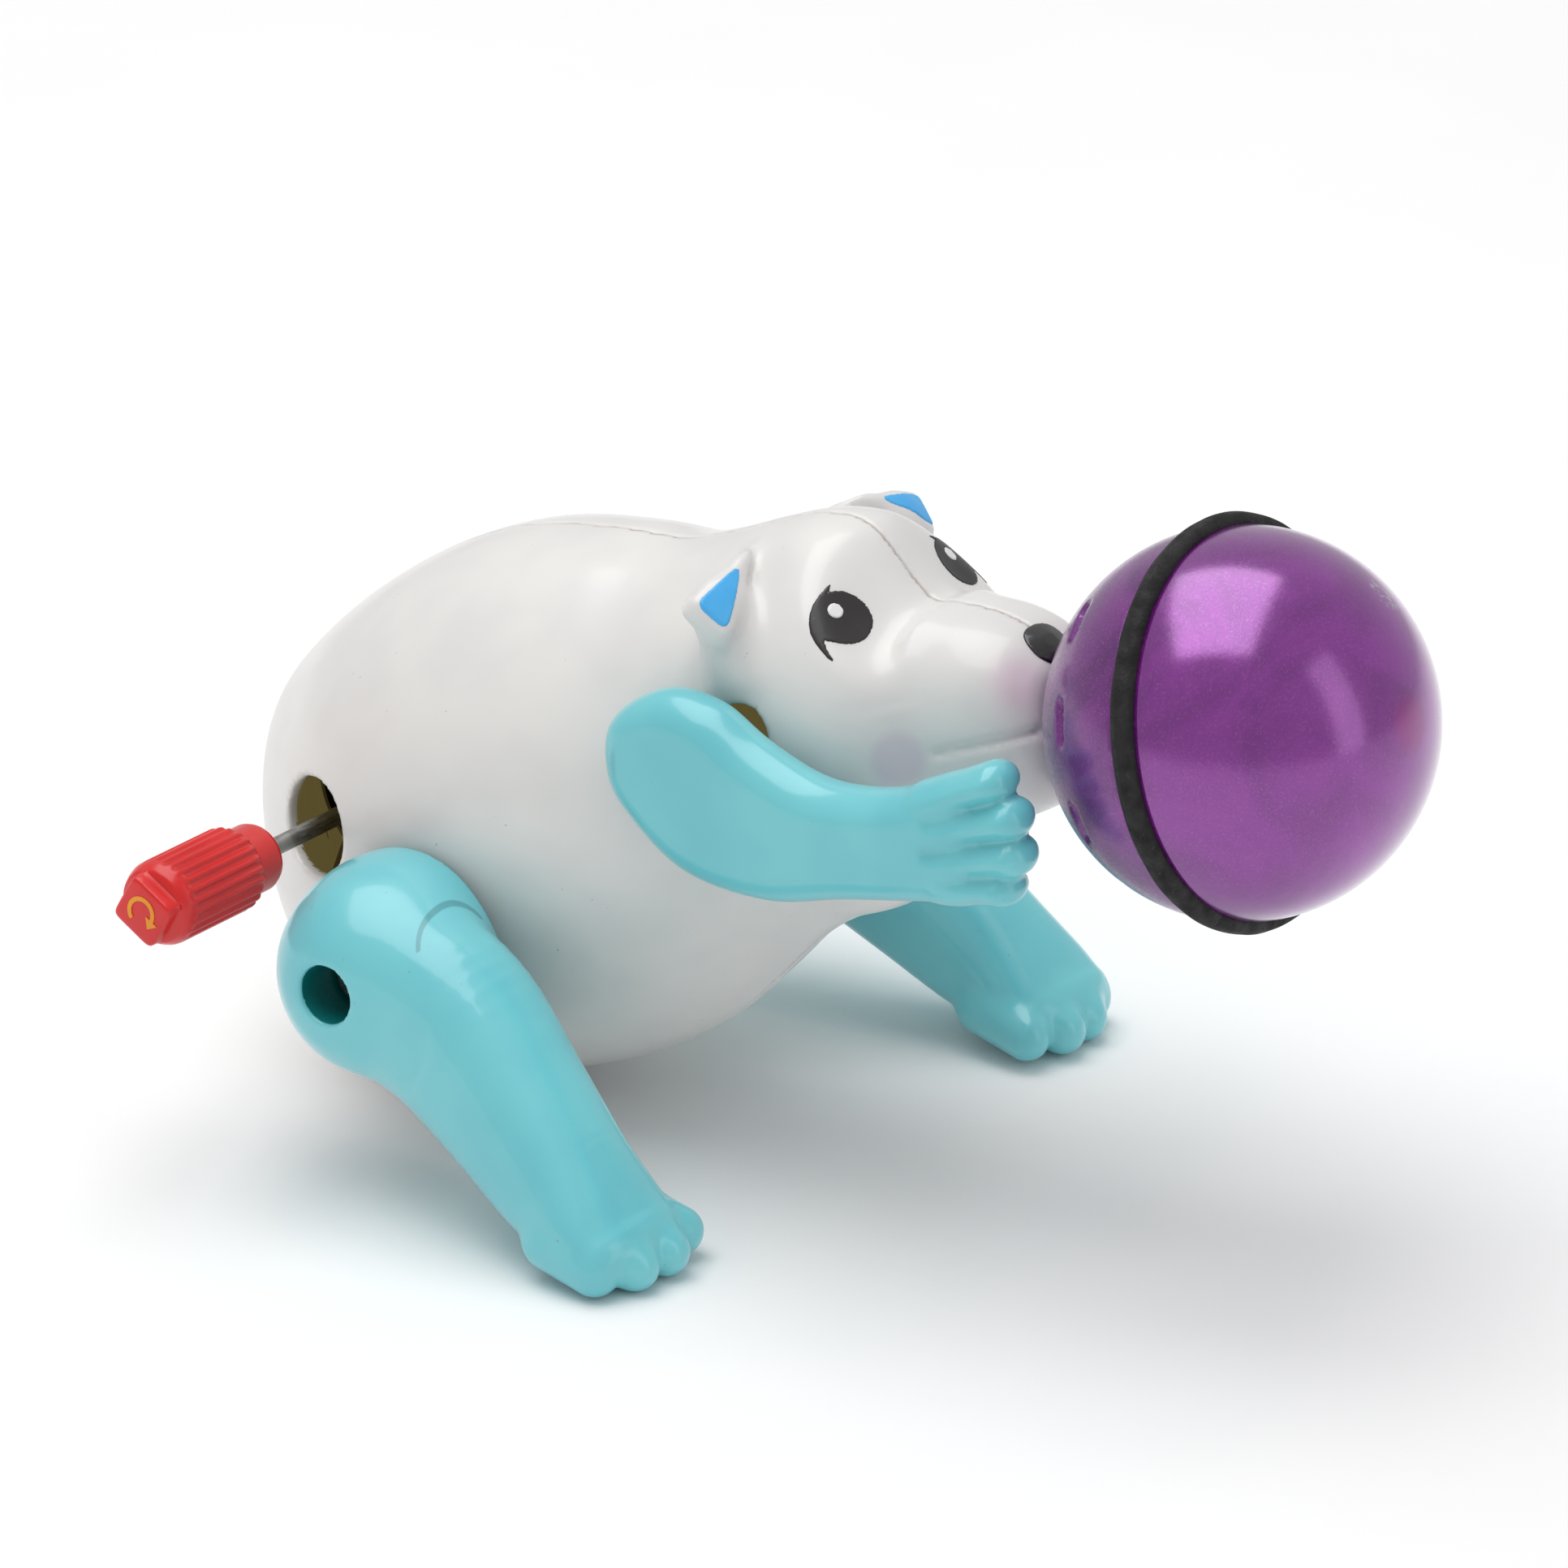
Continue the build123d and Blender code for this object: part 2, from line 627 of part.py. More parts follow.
# ---- second wheel, crown wheel, governor --------------------------------------------------------
def spur(face, thick, axis, teeth, phase):
    """A spur gear whose left face is at y = face, on a lateral axis."""
    with BuildPart() as gear:
        with BuildSketch(side_plane(face, axis)):
            with BuildLine():
                Polyline(gear_outline(teeth, phase), close=True)
            make_face()
        extrude(amount=thick)
    return gear.part


def rod(face, length, axis, radius):
    """A plain cylinder whose left end is at y = face, on a lateral axis."""
    with BuildPart() as cylinder:
        with BuildSketch(side_plane(face, axis)):
            Circle(radius)
        extrude(amount=length)
    return cylinder.part


def arbor(axis):
    """A steel arbor that runs in both motor plates."""
    return rod(PLATE_OUT, 2 * PLATE_OUT, axis, ARBOR_R)


with BuildPart() as second_wheel:
    add(spur(5.4, 0.9, SECOND_AXIS, SECOND_TEETH, SECOND_PHASE))
    add(rod(5.4, 5.4, SECOND_AXIS, 1.2))
    add(spur(-0.6, 1.5, SECOND_AXIS, SECOND_PINION_TEETH, SECOND_PINION_PHASE))
    add(rod(-0.0, 1.0, SECOND_AXIS, 1.2))
    add(arbor(SECOND_AXIS), mode=Mode.SUBTRACT)
finish(second_wheel, "second_wheel")

with BuildPart() as second_arbor:
    add(arbor(SECOND_AXIS))
finish(second_arbor, "second_arbor")

CROWN_TIP_Y = 2.15                # the crown teeth point at the mid-plane and end here
CROWN_ROOT_Y = 3.15
CROWN_DISC = 0.8
CROWN_TOOTH = 0.62                # thickness of a crown tooth at its root

with BuildPart() as crown_wheel:
    add(spur(5.6, 1.2, CROWN_AXIS, CROWN_PINION_TEETH, CROWN_PINION_PHASE))
    add(rod(4.4, 0.5, CROWN_AXIS, 1.2))
    add(rod(CROWN_ROOT_Y + CROWN_DISC, CROWN_DISC, CROWN_AXIS, CROWN_R + CROWN_FACE))
    with BuildSketch(side_plane(CROWN_ROOT_Y, CROWN_AXIS)):
        with PolarLocations(CROWN_R, CROWN_TEETH):
            Rectangle(2 * CROWN_FACE, CROWN_TOOTH)
    extrude(amount=CROWN_ROOT_Y - CROWN_TIP_Y, taper=10)
    add(arbor(CROWN_AXIS), mode=Mode.SUBTRACT)
finish(crown_wheel, "crown_wheel")

with BuildPart() as third_wheel:
    add(spur(-4.7, 0.8, CROWN_AXIS, THIRD_TEETH, THIRD_PHASE))
    add(rod(-4.0, 0.8, CROWN_AXIS, 1.3))
    add(arbor(CROWN_AXIS), mode=Mode.SUBTRACT)
finish(third_wheel, "third_wheel")

with BuildPart() as crown_arbor:
    add(arbor(CROWN_AXIS))
finish(crown_arbor, "crown_arbor")

GOVERNOR_R = 3.4
FAN_FACE = 1.7                    # the fan's vanes stay clear of the crown wheel

with BuildPart() as governor:
    add(spur(-4.5, 1.2, GOVERNOR_AXIS, GOVERNOR_TEETH, GOVERNOR_PHASE))
    add(rod(3.5, 8.2, GOVERNOR_AXIS, 1.1))
    # four fan vanes that brake the train in the air
    with BuildSketch(side_plane(FAN_FACE, GOVERNOR_AXIS)):
        Rectangle(2 * GOVERNOR_R, 0.6)
        Rectangle(0.6, 2 * GOVERNOR_R)
    extrude(amount=FAN_FACE + 3.2)
    add(arbor(GOVERNOR_AXIS), mode=Mode.SUBTRACT)
finish(governor, "governor")

with BuildPart() as governor_arbor:
    add(arbor(GOVERNOR_AXIS))
finish(governor_arbor, "governor_arbor")
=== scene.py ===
import json
from math import cos, pi, radians, sin

import bpy
import numpy as np
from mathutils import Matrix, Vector


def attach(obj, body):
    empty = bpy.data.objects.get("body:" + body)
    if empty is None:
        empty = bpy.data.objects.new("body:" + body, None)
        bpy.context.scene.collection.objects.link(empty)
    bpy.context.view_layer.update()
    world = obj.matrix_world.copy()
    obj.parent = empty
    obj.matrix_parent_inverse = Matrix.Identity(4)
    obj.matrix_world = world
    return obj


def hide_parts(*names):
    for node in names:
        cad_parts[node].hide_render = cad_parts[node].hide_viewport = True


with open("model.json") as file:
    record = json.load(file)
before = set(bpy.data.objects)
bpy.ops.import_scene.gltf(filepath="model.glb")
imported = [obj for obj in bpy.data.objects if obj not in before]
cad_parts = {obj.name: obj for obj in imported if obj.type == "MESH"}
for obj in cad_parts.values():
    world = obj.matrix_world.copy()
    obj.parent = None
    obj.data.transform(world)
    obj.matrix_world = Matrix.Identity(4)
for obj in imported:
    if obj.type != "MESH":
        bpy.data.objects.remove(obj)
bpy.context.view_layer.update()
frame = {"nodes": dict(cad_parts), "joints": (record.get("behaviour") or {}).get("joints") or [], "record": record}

MM = 0.001
JOINT = {joint["name"]: joint for joint in frame["joints"]}


def unit(vector):
    return np.asarray(vector, float) / np.linalg.norm(vector)


# The bear's own frame, in millimetres: x ahead along the ball's shaft, y to its left, z up its back
AHEAD = unit(JOINT["ball_spin"]["axis"])
LEFT = np.array([0.0, 1.0, 0.0])
UP = np.cross(AHEAD, LEFT)
AXES = np.array([AHEAD, LEFT, UP])
BALL = np.array(JOINT["ball_spin"]["pos_m"]) / MM


def to_row(points):
    return BALL + np.asarray(points, float) @ AXES


def to_bear(points):
    return (np.asarray(points, float) - BALL) @ AXES.T


def joint_in_bear(name):
    return to_bear(np.array(JOINT[name]["pos_m"]) / MM)


KEY_X, _, KEY_Z = joint_in_bear("key_turn")
SHOULDER_X, _, SHOULDER_Z = joint_in_bear("arm_right_swing")
HIP_X, _, HIP_Z = joint_in_bear("leg_right_swing")
HIP_ROW_X, _, HIP_ROW_Z = np.array(JOINT["leg_right_swing"]["pos_m"]) / MM

# ---- distance fields ----------------------------------------------------------------------------
# A field takes arrays x, y, z and gives the distance to a surface, negative inside it.


def smooth_union(a, b, k):
    h = np.clip(0.5 + 0.5 * (b - a) / k, 0, 1)
    return b + (a - b) * h - k * h * (1 - h)


def smooth_common(a, b, k):
    return -smooth_union(-a, -b, k)


def smooth_cut(a, b, k):
    return -smooth_union(-a, b, k)


def sphere(x, y, z, centre, radius):
    return np.sqrt((x - centre[0]) ** 2 + (y - centre[1]) ** 2 + (z - centre[2]) ** 2) - radius


def rod(x, y, z, start, end, radius, end_radius=None):
    """Round-ended rod, tapering if end_radius is given."""
    run = np.subtract(end, start)
    t = (x - start[0]) * run[0] + (y - start[1]) * run[1] + (z - start[2]) * run[2]
    t = np.clip(t / (run @ run), 0, 1)
    gap = np.sqrt(
        (x - start[0] - t * run[0]) ** 2
        + (y - start[1] - t * run[1]) ** 2
        + (z - start[2] - t * run[2]) ** 2)
    return gap - (radius if end_radius is None else radius + t * (end_radius - radius))


def rounded_slab(plan, across, radius):
    """Common part of a plan outline and a thickness, with its edge rounded to the radius."""
    a = plan + radius
    b = across + radius
    return np.hypot(np.maximum(a, 0), np.maximum(b, 0)) + np.minimum(np.maximum(a, b), 0) - radius


def hermite(knots, values, at):
    """Smooth curve through values at knots; values may have columns."""
    knots = np.asarray(knots, float)
    values = np.asarray(values, float)
    slopes = np.gradient(values, knots, axis=0)
    i = np.clip(np.searchsorted(knots, at) - 1, 0, len(knots) - 2)
    span = knots[i + 1] - knots[i]
    t = (at - knots[i]) / span
    if values.ndim > 1:
        span = span[:, None]
        t = t[:, None]
    return (
        (2 * t ** 3 - 3 * t ** 2 + 1) * values[i]
        + (t ** 3 - 2 * t ** 2 + t) * span * slopes[i]
        + (3 * t ** 2 - 2 * t ** 3) * values[i + 1]
        + (t ** 3 - t ** 2) * span * slopes[i + 1])


def closed_curve(points, spans=8):
    """Points along a smooth closed curve through the given ones."""
    points = np.asarray(points, float)
    before, after, later = (np.roll(points, -k, 0) for k in (-1, 1, 2))
    out = []
    for t in np.arange(spans) / spans:
        out.append(0.5 * (
            2 * points
            + (after - before) * t
            + (2 * before - 5 * points + 4 * after - later) * t ** 2
            + (3 * points - before - 3 * after + later) * t ** 3))
    return np.stack(out, 1).reshape(-1, 2)


def blurred(table, width):
    """Rows of a table softened along its first axis, width in rows."""
    reach = int(3 * width) + 1
    weights = np.exp(-0.5 * (np.arange(-reach, reach + 1) / width) ** 2)
    weights /= weights.sum()
    padded = np.pad(table, [(reach, reach)] + [(0, 0)] * (table.ndim - 1), mode="reflect",
                    reflect_type="odd")
    return sum(w * padded[i:i + len(table)] for i, w in enumerate(weights))


def outline_field(points, margin=4.0, step=0.1, blur=1.0):
    """Signed distance to a closed outline in a plane, as a function of two coordinates."""
    low = points.min(0) - margin
    count = np.ceil((points.max(0) + margin - low) / step).astype(int) + 1
    u = (low[0] + step * np.arange(count[0]))[:, None]
    v = (low[1] + step * np.arange(count[1]))[None, :]
    nearest = np.full(count, np.inf)
    inside = np.zeros(count, bool)
    for a, b in zip(points, np.roll(points, -1, 0)):
        run = b - a
        if run @ run == 0:
            continue
        t = np.clip(((u - a[0]) * run[0] + (v - a[1]) * run[1]) / (run @ run), 0, 1)
        nearest = np.minimum(nearest, np.hypot(u - a[0] - t * run[0], v - a[1] - t * run[1]))
        if run[1]:
            inside ^= ((a[1] > v) != (b[1] > v)) & (u < run[0] * (v - a[1]) / run[1] + a[0])
    table = np.where(inside, -nearest, nearest)
    table = blurred(blurred(table, blur).T, blur).T

    def look(x, z):
        i = np.clip((x - low[0]) / step, 0, count[0] - 1.001)
        j = np.clip((z - low[1]) / step, 0, count[1] - 1.001)
        i0 = i.astype(int)
        j0 = j.astype(int)
        i -= i0
        j -= j0
        return (
            (table[i0, j0] * (1 - i) + table[i0 + 1, j0] * i) * (1 - j)
            + (table[i0, j0 + 1] * (1 - i) + table[i0 + 1, j0 + 1] * i) * j)

    return look


# ---- surfaces from fields -----------------------------------------------------------------------


def gradient(field, points, reach=0.05):
    out = np.empty_like(points)
    for axis in range(3):
        shift = np.zeros(3)
        shift[axis] = reach
        out[:, axis] = field(*(points + shift).T) - field(*(points - shift).T)
    return out / (2 * reach)


def project(field, points, rounds=3):
    """Points moved along the field's slope until they lie on its surface."""
    for _ in range(rounds):
        slope = gradient(field, points)
        size = np.maximum((slope ** 2).sum(1), 0.05)
        move = field(*points.T) / size
        points = points - np.clip(move, -0.3, 0.3)[:, None] * slope
    return points


def neighbour_mean(points, links):
    """For each vertex, the mean place of those it shares an edge with."""
    tally = np.bincount(links[:, 0], minlength=len(points))
    return np.stack(
        [np.bincount(links[:, 0], points[links[:, 1], k], len(points)) / tally
         for k in range(3)], 1)


def eased(points, links, rounds):
    """Small ripples taken out of a mesh; each step back undoes the step's shrinking."""
    for _ in range(rounds):
        for step in (0.5, -0.53):
            points = points + step * (neighbour_mean(points, links) - points)
    return points


def surface(field, low, high, step, relax=2, ease=0):
    """Closed quad mesh of a field's surface inside a box, as vertices and faces."""
    axes = [np.arange(a - 1.37 * step, b + 2.2 * step, step) for a, b in zip(low, high)]
    shape = tuple(len(axis) for axis in axes)
    values = np.broadcast_to(
        field(axes[0][:, None, None], axes[1][None, :, None], axes[2][None, None, :]), shape)
    inside = values < 0
    cell_of = np.arange(np.prod(shape)).reshape(shape)
    stride = (shape[1] * shape[2], shape[2], 1)
    owners = []
    spots = []
    quads = []
    for axis in range(3):
        near = [slice(1, -1)] * 3
        far = list(near)
        near[axis] = slice(0, -1)
        far[axis] = slice(1, None)
        near = tuple(near)
        far = tuple(far)
        crossed = inside[near] != inside[far]
        a = values[near][crossed]
        b = values[far][crossed]
        node = cell_of[near][crossed]
        spot = np.stack(np.unravel_index(node, shape), 1).astype(float)
        spot[:, axis] += a / (a - b)
        s1 = stride[(axis + 1) % 3]
        s2 = stride[(axis + 2) % 3]
        cells = np.stack([node, node - s1, node - s1 - s2, node - s2], 1)
        owners.append(cells.ravel())
        spots.append(np.repeat(spot, 4, 0))
        quads.append(np.where((a < 0)[:, None], cells, cells[:, ::-1]))
    owners = np.concatenate(owners)
    spots = np.concatenate(spots)
    quads = np.concatenate(quads)
    used, index = np.unique(owners, return_inverse=True)
    tally = np.bincount(index)
    points = np.stack([np.bincount(index, spots[:, k]) / tally for k in range(3)], 1)
    points = np.array([axis[0] for axis in axes]) + points * step
    faces = np.searchsorted(used, quads)
    points = project(field, points)
    links = np.concatenate([faces[:, [k, (k + 1) % 4]] for k in range(4)])
    for _ in range(relax):
        points = project(field, 0.5 * points + 0.5 * neighbour_mean(points, links), 2)
    return eased(points, links, ease), faces


# ---- pieces -------------------------------------------------------------------------------------


def add_piece(name, points, faces, body, materials, replaces=(), choose=None):
    """A new mesh, its points in millimetres in the row's frame, riding on a CAD body."""
    mesh = bpy.data.meshes.new(name)
    mesh.from_pydata((np.asarray(points) * MM).tolist(), [], [list(map(int, f)) for f in faces])
    for material in materials:
        mesh.materials.append(material)
    if choose is not None:
        mesh.polygons.foreach_set("material_index", np.asarray(choose, np.int32))
    mesh.shade_smooth()
    mesh.update()
    piece = bpy.data.objects.new(name, mesh)
    bpy.context.scene.collection.objects.link(piece)
    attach(piece, body)
    if replaces:
        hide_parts(*replaces)
    return piece


def mirrored(points, faces):
    return points * (1, -1, 1), faces[:, ::-1]


def face_centres(points, faces):
    return points[faces].mean(1)


def lathe(stations, around, origin, along, across, shape=None):
    """Closed mesh turned about a line from stations (distance along, radius); a radius of 0
    closes an end. shape(station, radius, angle) may change the radius round the turn."""
    third = np.cross(along, across)
    turn = 2 * pi * np.arange(around) / around
    points = []
    rings = []
    for i, (s, r) in enumerate(stations):
        if r == 0:
            rings.append([len(points)])
            points.append(origin + s * along)
            continue
        radius = np.full(around, float(r)) if shape is None else shape(i, r, turn)
        ring = (origin + s * along + np.outer(radius * np.cos(turn), across)
                + np.outer(radius * np.sin(turn), third))
        rings.append(list(range(len(points), len(points) + around)))
        points.extend(ring)
    faces = []
    for a, b in zip(rings, rings[1:]):
        for k in range(around):
            n = (k + 1) % around
            if len(a) == 1:
                faces.append((a[0], b[n], b[k]))
            elif len(b) == 1:
                faces.append((a[k], a[n], b[0]))
            else:
                faces.append((a[k], a[n], b[n], b[k]))
    return np.array(points), faces


# ---- materials ----------------------------------------------------------------------------------


def srgb(red, green, blue):
    """Linear colour from 0-255 display values."""
    return tuple(
        (c / 255 / 12.92 if c <= 10 else ((c / 255 + 0.055) / 1.055) ** 2.4)
        for c in (red, green, blue)) + (1.0,)


class Finish:
    """A node material being put together, its noise scaled in millimetres."""

    def __init__(self, name, **sockets):
        self.material = bpy.data.materials.new(name)
        self.material.use_nodes = True
        self.nodes = self.material.node_tree.nodes
        self.links = self.material.node_tree.links
        self.shader = self.nodes["Principled BSDF"]
        self.place = self.nodes.new("ShaderNodeTexCoord").outputs["Object"]
        for socket, value in sockets.items():
            self.shader.inputs[socket.replace("_", " ")].default_value = value

    def node(self, kind, values=(), **options):
        made = self.nodes.new(kind)
        for option, value in options.items():
            setattr(made, option, value)
        for socket, value in dict(values).items():
            if isinstance(value, bpy.types.NodeSocket):
                self.links.new(value, made.inputs[socket])
            else:
                made.inputs[socket].default_value = value
        return made

    def noise(self, size, detail=3.0, rough=0.55, distortion=0.0, place=None):
        made = self.node("ShaderNodeTexNoise", {
            "Vector": place or self.place, "Scale": 1 / (size * MM), "Detail": detail,
            "Roughness": rough, "Distortion": distortion})
        return made.outputs["Fac"]

    def ramp(self, value, low, high, out_low=0.0, out_high=1.0):
        made = self.node("ShaderNodeMapRange", {
            "Value": value, "From Min": low, "From Max": high,
            "To Min": out_low, "To Max": out_high})
        made.interpolation_type = "SMOOTHSTEP"
        return made.outputs["Result"]

    def math(self, operation, a, b=0.0):
        return self.node("ShaderNodeMath", {0: a, 1: b}, operation=operation).outputs["Value"]

    def mix(self, share, a, b):
        made = self.node("ShaderNodeMix", data_type="RGBA")
        for socket, value in ((0, share), (6, a), (7, b)):
            if isinstance(value, bpy.types.NodeSocket):
                self.links.new(value, made.inputs[socket])
            else:
                made.inputs[socket].default_value = value
        return made.outputs[2]

    def away(self, centre):
        """Distance in metres from a point given in row millimetres."""
        made = self.node("ShaderNodeVectorMath", {0: self.place, 1: tuple(np.array(centre) * MM)},
                         operation="DISTANCE")
        return made.outputs["Value"]

    def spot(self, centre, inner, outer, strength=1.0):
        """1 near a point, fading to 0 between two radii in millimetres."""
        return self.ramp(self.away(centre), inner * MM, outer * MM, strength, 0.0)

    def along(self, direction, origin=(0, 0, 0)):
        """Coordinate in metres along a direction from a point in row millimetres."""
        direction = np.array(direction, float)
        made = self.node("ShaderNodeVectorMath", {0: self.place, 1: tuple(direction)},
                         operation="DOT_PRODUCT")
        start = float(np.dot(origin, direction)) * MM
        return self.math("SUBTRACT", made.outputs["Value"], start)

    def colour(self, value):
        self.links.new(value, self.shader.inputs["Base Color"])

    def roughness(self, value):
        self.links.new(value, self.shader.inputs["Roughness"])

    def bump(self, height, depth, strength=1.0):
        made = self.node("ShaderNodeBump", {
            "Height": height, "Distance": depth * MM, "Strength": strength})
        self.links.new(made.outputs["Normal"], self.shader.inputs["Normal"])


def moulded(name, tone, shade, rough, coat=0.0, coat_rough=0.06, depth=0.02, grain=0.6,
            tint=None, scatter=None):
    """Moulded plastic: slow tone drift, fine orange peel, faint scuffs and handling marks."""
    finish = Finish(name, Roughness=rough, Coat_Weight=coat, Coat_Roughness=coat_rough,
                    IOR=1.5)
    if scatter:
        finish.shader.inputs["Subsurface Weight"].default_value = scatter[0]
        finish.shader.inputs["Subsurface Radius"].default_value = scatter[1]
        finish.shader.inputs["Subsurface Scale"].default_value = scatter[2]
    drift = finish.ramp(finish.noise(9.0, 2.0), 0.35, 0.65)
    colour = finish.mix(drift, tone, shade)
    specks = finish.ramp(finish.noise(0.5, 1.0), 0.79, 0.82)
    colour = finish.mix(finish.math("MULTIPLY", specks, 0.35), colour, SPECK)
    if tint:
        colour = tint(finish, colour)
    finish.colour(colour)
    scuff = finish.ramp(finish.noise(3.5, 3.0), 0.4, 0.75, rough, rough + 0.1)
    finish.roughness(scuff)
    peel = finish.math("ADD", finish.noise(grain, 2.0), finish.noise(grain * 6, 1.0))
    finish.bump(peel, depth, 0.5)
    return finish.material


SPECK = srgb(120, 112, 100)
SEAM_TINT = srgb(176, 152, 128)
BLUSH = srgb(226, 205, 216)
GREY_BLUSH = srgb(218, 202, 214)


def shell_tint(finish, colour):
    """Seam line on the mid-plane, and faint pink blushes on the cheeks and beside the nose."""
    for side in (-1, 1):
        for centre, inner, outer, share, tone in (
                ((-23.3, 8.2 * side, 0.4), 1.3, 2.4, 0.6, GREY_BLUSH),
                ((-14.9, 4.1 * side, 4.4), 0.5, 3.0, 0.8, BLUSH)):
            mask = finish.spot(to_row(centre), inner, outer, share)
            colour = finish.mix(mask, colour, tone)
    off_plane = finish.math("ABSOLUTE", finish.along(LEFT))
    seam = finish.ramp(off_plane, 0.05 * MM, 0.15 * MM, 0.6, 0.0)
    wander = finish.ramp(finish.noise(3.0, 3.0), 0.35, 0.6, 0.3, 1.0)
    return finish.mix(finish.math("MULTIPLY", seam, wander), colour, SEAM_TINT)


WHITE = moulded(
    "white_plastic", srgb(232, 230, 227), srgb(226, 224, 222), 0.33, coat=0.35,
    coat_rough=0.12, depth=0.008, tint=shell_tint,
    scatter=(0.12, (1.0, 0.9, 0.8), 0.002))
# Inner walls of the white shell, painted dark olive as painted shade inside the body
SHELL_INSIDE_SHADE_AND_GLOW = moulded("shell_inside_painted_shade_and_glow", srgb(120, 110, 76), srgb(98, 89, 60), 0.65, depth=0.05)
# Painted glow: the inside glows as if lit by daylight that comes through the thin shell
inside_glow = SHELL_INSIDE_SHADE_AND_GLOW.node_tree.nodes["Principled BSDF"].inputs
inside_glow["Emission Color"].default_value = srgb(96, 86, 50)
inside_glow["Emission Strength"].default_value = 0.7


HIP_LINE_START = np.array((13.9, 0, 22.6))
HIP_LINE_END = np.array((15.8, 0, 20.2))
HIP_LINE_SHADE = srgb(60, 140, 150)


def hip_line_painted_shade(finish, colour):
    """Painted shade: a dark line across the top of each thigh where a thin slit's shade falls; no slit is cut."""
    run = HIP_LINE_END - HIP_LINE_START
    length = np.linalg.norm(run) * MM
    across = unit((-run[2], 0, run[0]))
    off = finish.math("ABSOLUTE", finish.along(across, HIP_LINE_START))
    end = finish.math("ABSOLUTE", finish.along(unit(run), HIP_LINE_START + run / 2))
    # painted shade of the slit, darker blue along the line
    line = finish.ramp(off, 0.08 * MM, 0.16 * MM, 0.7, 0.0)
    reach = finish.ramp(end, 0.45 * length, 0.5 * length, 1.0, 0.0)
    return finish.mix(finish.math("MULTIPLY", line, reach), colour, HIP_LINE_SHADE)


BLUE = moulded(
    "light_blue_plastic", srgb(116, 206, 214), srgb(108, 199, 209), 0.28, coat=0.5,
    coat_rough=0.10, depth=0.012, tint=hip_line_painted_shade)
# Painted shade: the walls of each hip's bore are coloured dark teal for the shade inside the hole
HIP_BORE_SHADE = moulded("hip_bore_painted_shade", srgb(10, 128, 128), srgb(0, 112, 112), 0.4, depth=0.03)
EYE_INK = moulded("eye_ink", srgb(42, 38, 38), srgb(30, 28, 29), 0.38, coat=0.1, depth=0.02)
GLINT_INK = moulded("eye_glint_ink", srgb(240, 240, 238), srgb(225, 225, 225), 0.3, depth=0.02)
NOSE_INK = moulded("nose_ink", srgb(16, 14, 15), srgb(8, 8, 8), 0.3, coat=0.7, depth=0.05)
EAR_INK = moulded("ear_ink", srgb(60, 168, 238), srgb(74, 180, 240), 0.35, coat=0.2, depth=0.03)
RED = moulded(
    "red_key_plastic", srgb(222, 24, 22), srgb(206, 10, 12), 0.33, coat=0.25, coat_rough=0.15,
    depth=0.03)
MARK_INK = moulded("key_mark_ink", srgb(240, 160, 30), srgb(228, 138, 24), 0.45, depth=0.05)
MOTOR = moulded("motor_plastic", srgb(150, 142, 118), srgb(128, 120, 96), 0.6, depth=0.05)


def metal(name, tone, rough, streak_along):
    """Drawn or turned metal, its fine scratches running along a direction."""
    finish = Finish(name, Metallic=1.0, Roughness=rough)
    turn = finish.node("ShaderNodeMapping", {"Vector": finish.place,
                                             "Scale": tuple(1 - 0.92 * abs(streak_along))})
    fine = finish.noise(0.12, 4.0, 0.6, place=turn.outputs["Vector"])
    stain = finish.noise(1.6, 3.0)
    dark = tuple(c * 0.6 for c in tone[:3]) + (1.0,)
    finish.colour(finish.mix(finish.ramp(stain, 0.4, 0.7), tone, dark))
    finish.roughness(finish.ramp(fine, 0.3, 0.7, rough * 0.7, rough * 1.4))
    finish.bump(fine, 0.01, 0.4)
    return finish.material


STEEL = metal("drawn_steel", srgb(170, 170, 168), 0.35, LEFT)
SCREW = metal("plated_screw_steel", srgb(200, 198, 190), 0.25, AHEAD)


def rubber():
    finish = Finish("black_rubber", Roughness=0.75, IOR=1.5)
    dust = finish.ramp(finish.noise(0.5, 6.0, 0.7), 0.58, 0.78)
    finish.colour(finish.mix(dust, srgb(20, 19, 20), srgb(62, 60, 60)))
    finish.roughness(finish.ramp(finish.noise(1.2, 4.0), 0.3, 0.7, 0.6, 0.9))
    finish.bump(finish.math("ADD", finish.noise(0.25, 5.0), finish.noise(1.4, 2.0)), 0.12, 0.8)
    return finish.material


RUBBER = rubber()


def pearl(name, tone, shade, glow, metallic, rough, coat, clear, hub=None, print_at=None):
    """Translucent purple with metallic flakes under a clear outer skin; the flakes are painted in the pale glow
    colour, partly their own tint and partly painted sheen.
    """
    finish = Finish(name, Metallic=metallic, Roughness=rough, Coat_Weight=coat,
                    Coat_Roughness=0.18, Coat_IOR=1.55, IOR=1.5,
                    Transmission_Weight=clear)
    swirl = finish.ramp(finish.noise(7.0, 3.0, 0.6, 1.2), 0.3, 0.7)
    colour = finish.mix(swirl, tone, shade)
    # pale flakes: partly the flakes' own colour, partly painted sheen
    flake_sheen = finish.ramp(finish.noise(0.14, 2.0), 0.52, 0.72)
    colour = finish.mix(finish.math("MULTIPLY", flake_sheen, 0.22), colour, glow)
    if hub:
        colour = finish.mix(finish.spot(hub[0], hub[1], hub[2], 0.9), colour, MAGENTA)
    if print_at is not None:
        speckle = finish.ramp(finish.noise(0.45, 3.0), 0.5, 0.56)
        mask = finish.math("MULTIPLY", finish.spot(print_at, 1.1, 1.5), speckle)
        colour = finish.mix(mask, colour, srgb(205, 190, 214))
    finish.colour(colour)
    finish.roughness(finish.ramp(finish.noise(0.3, 3.0), 0.3, 0.7, rough * 0.8, rough * 1.25))
    finish.bump(finish.noise(0.25, 2.0), 0.02, 0.35)
    return finish.material


MAGENTA = srgb(178, 0, 160)

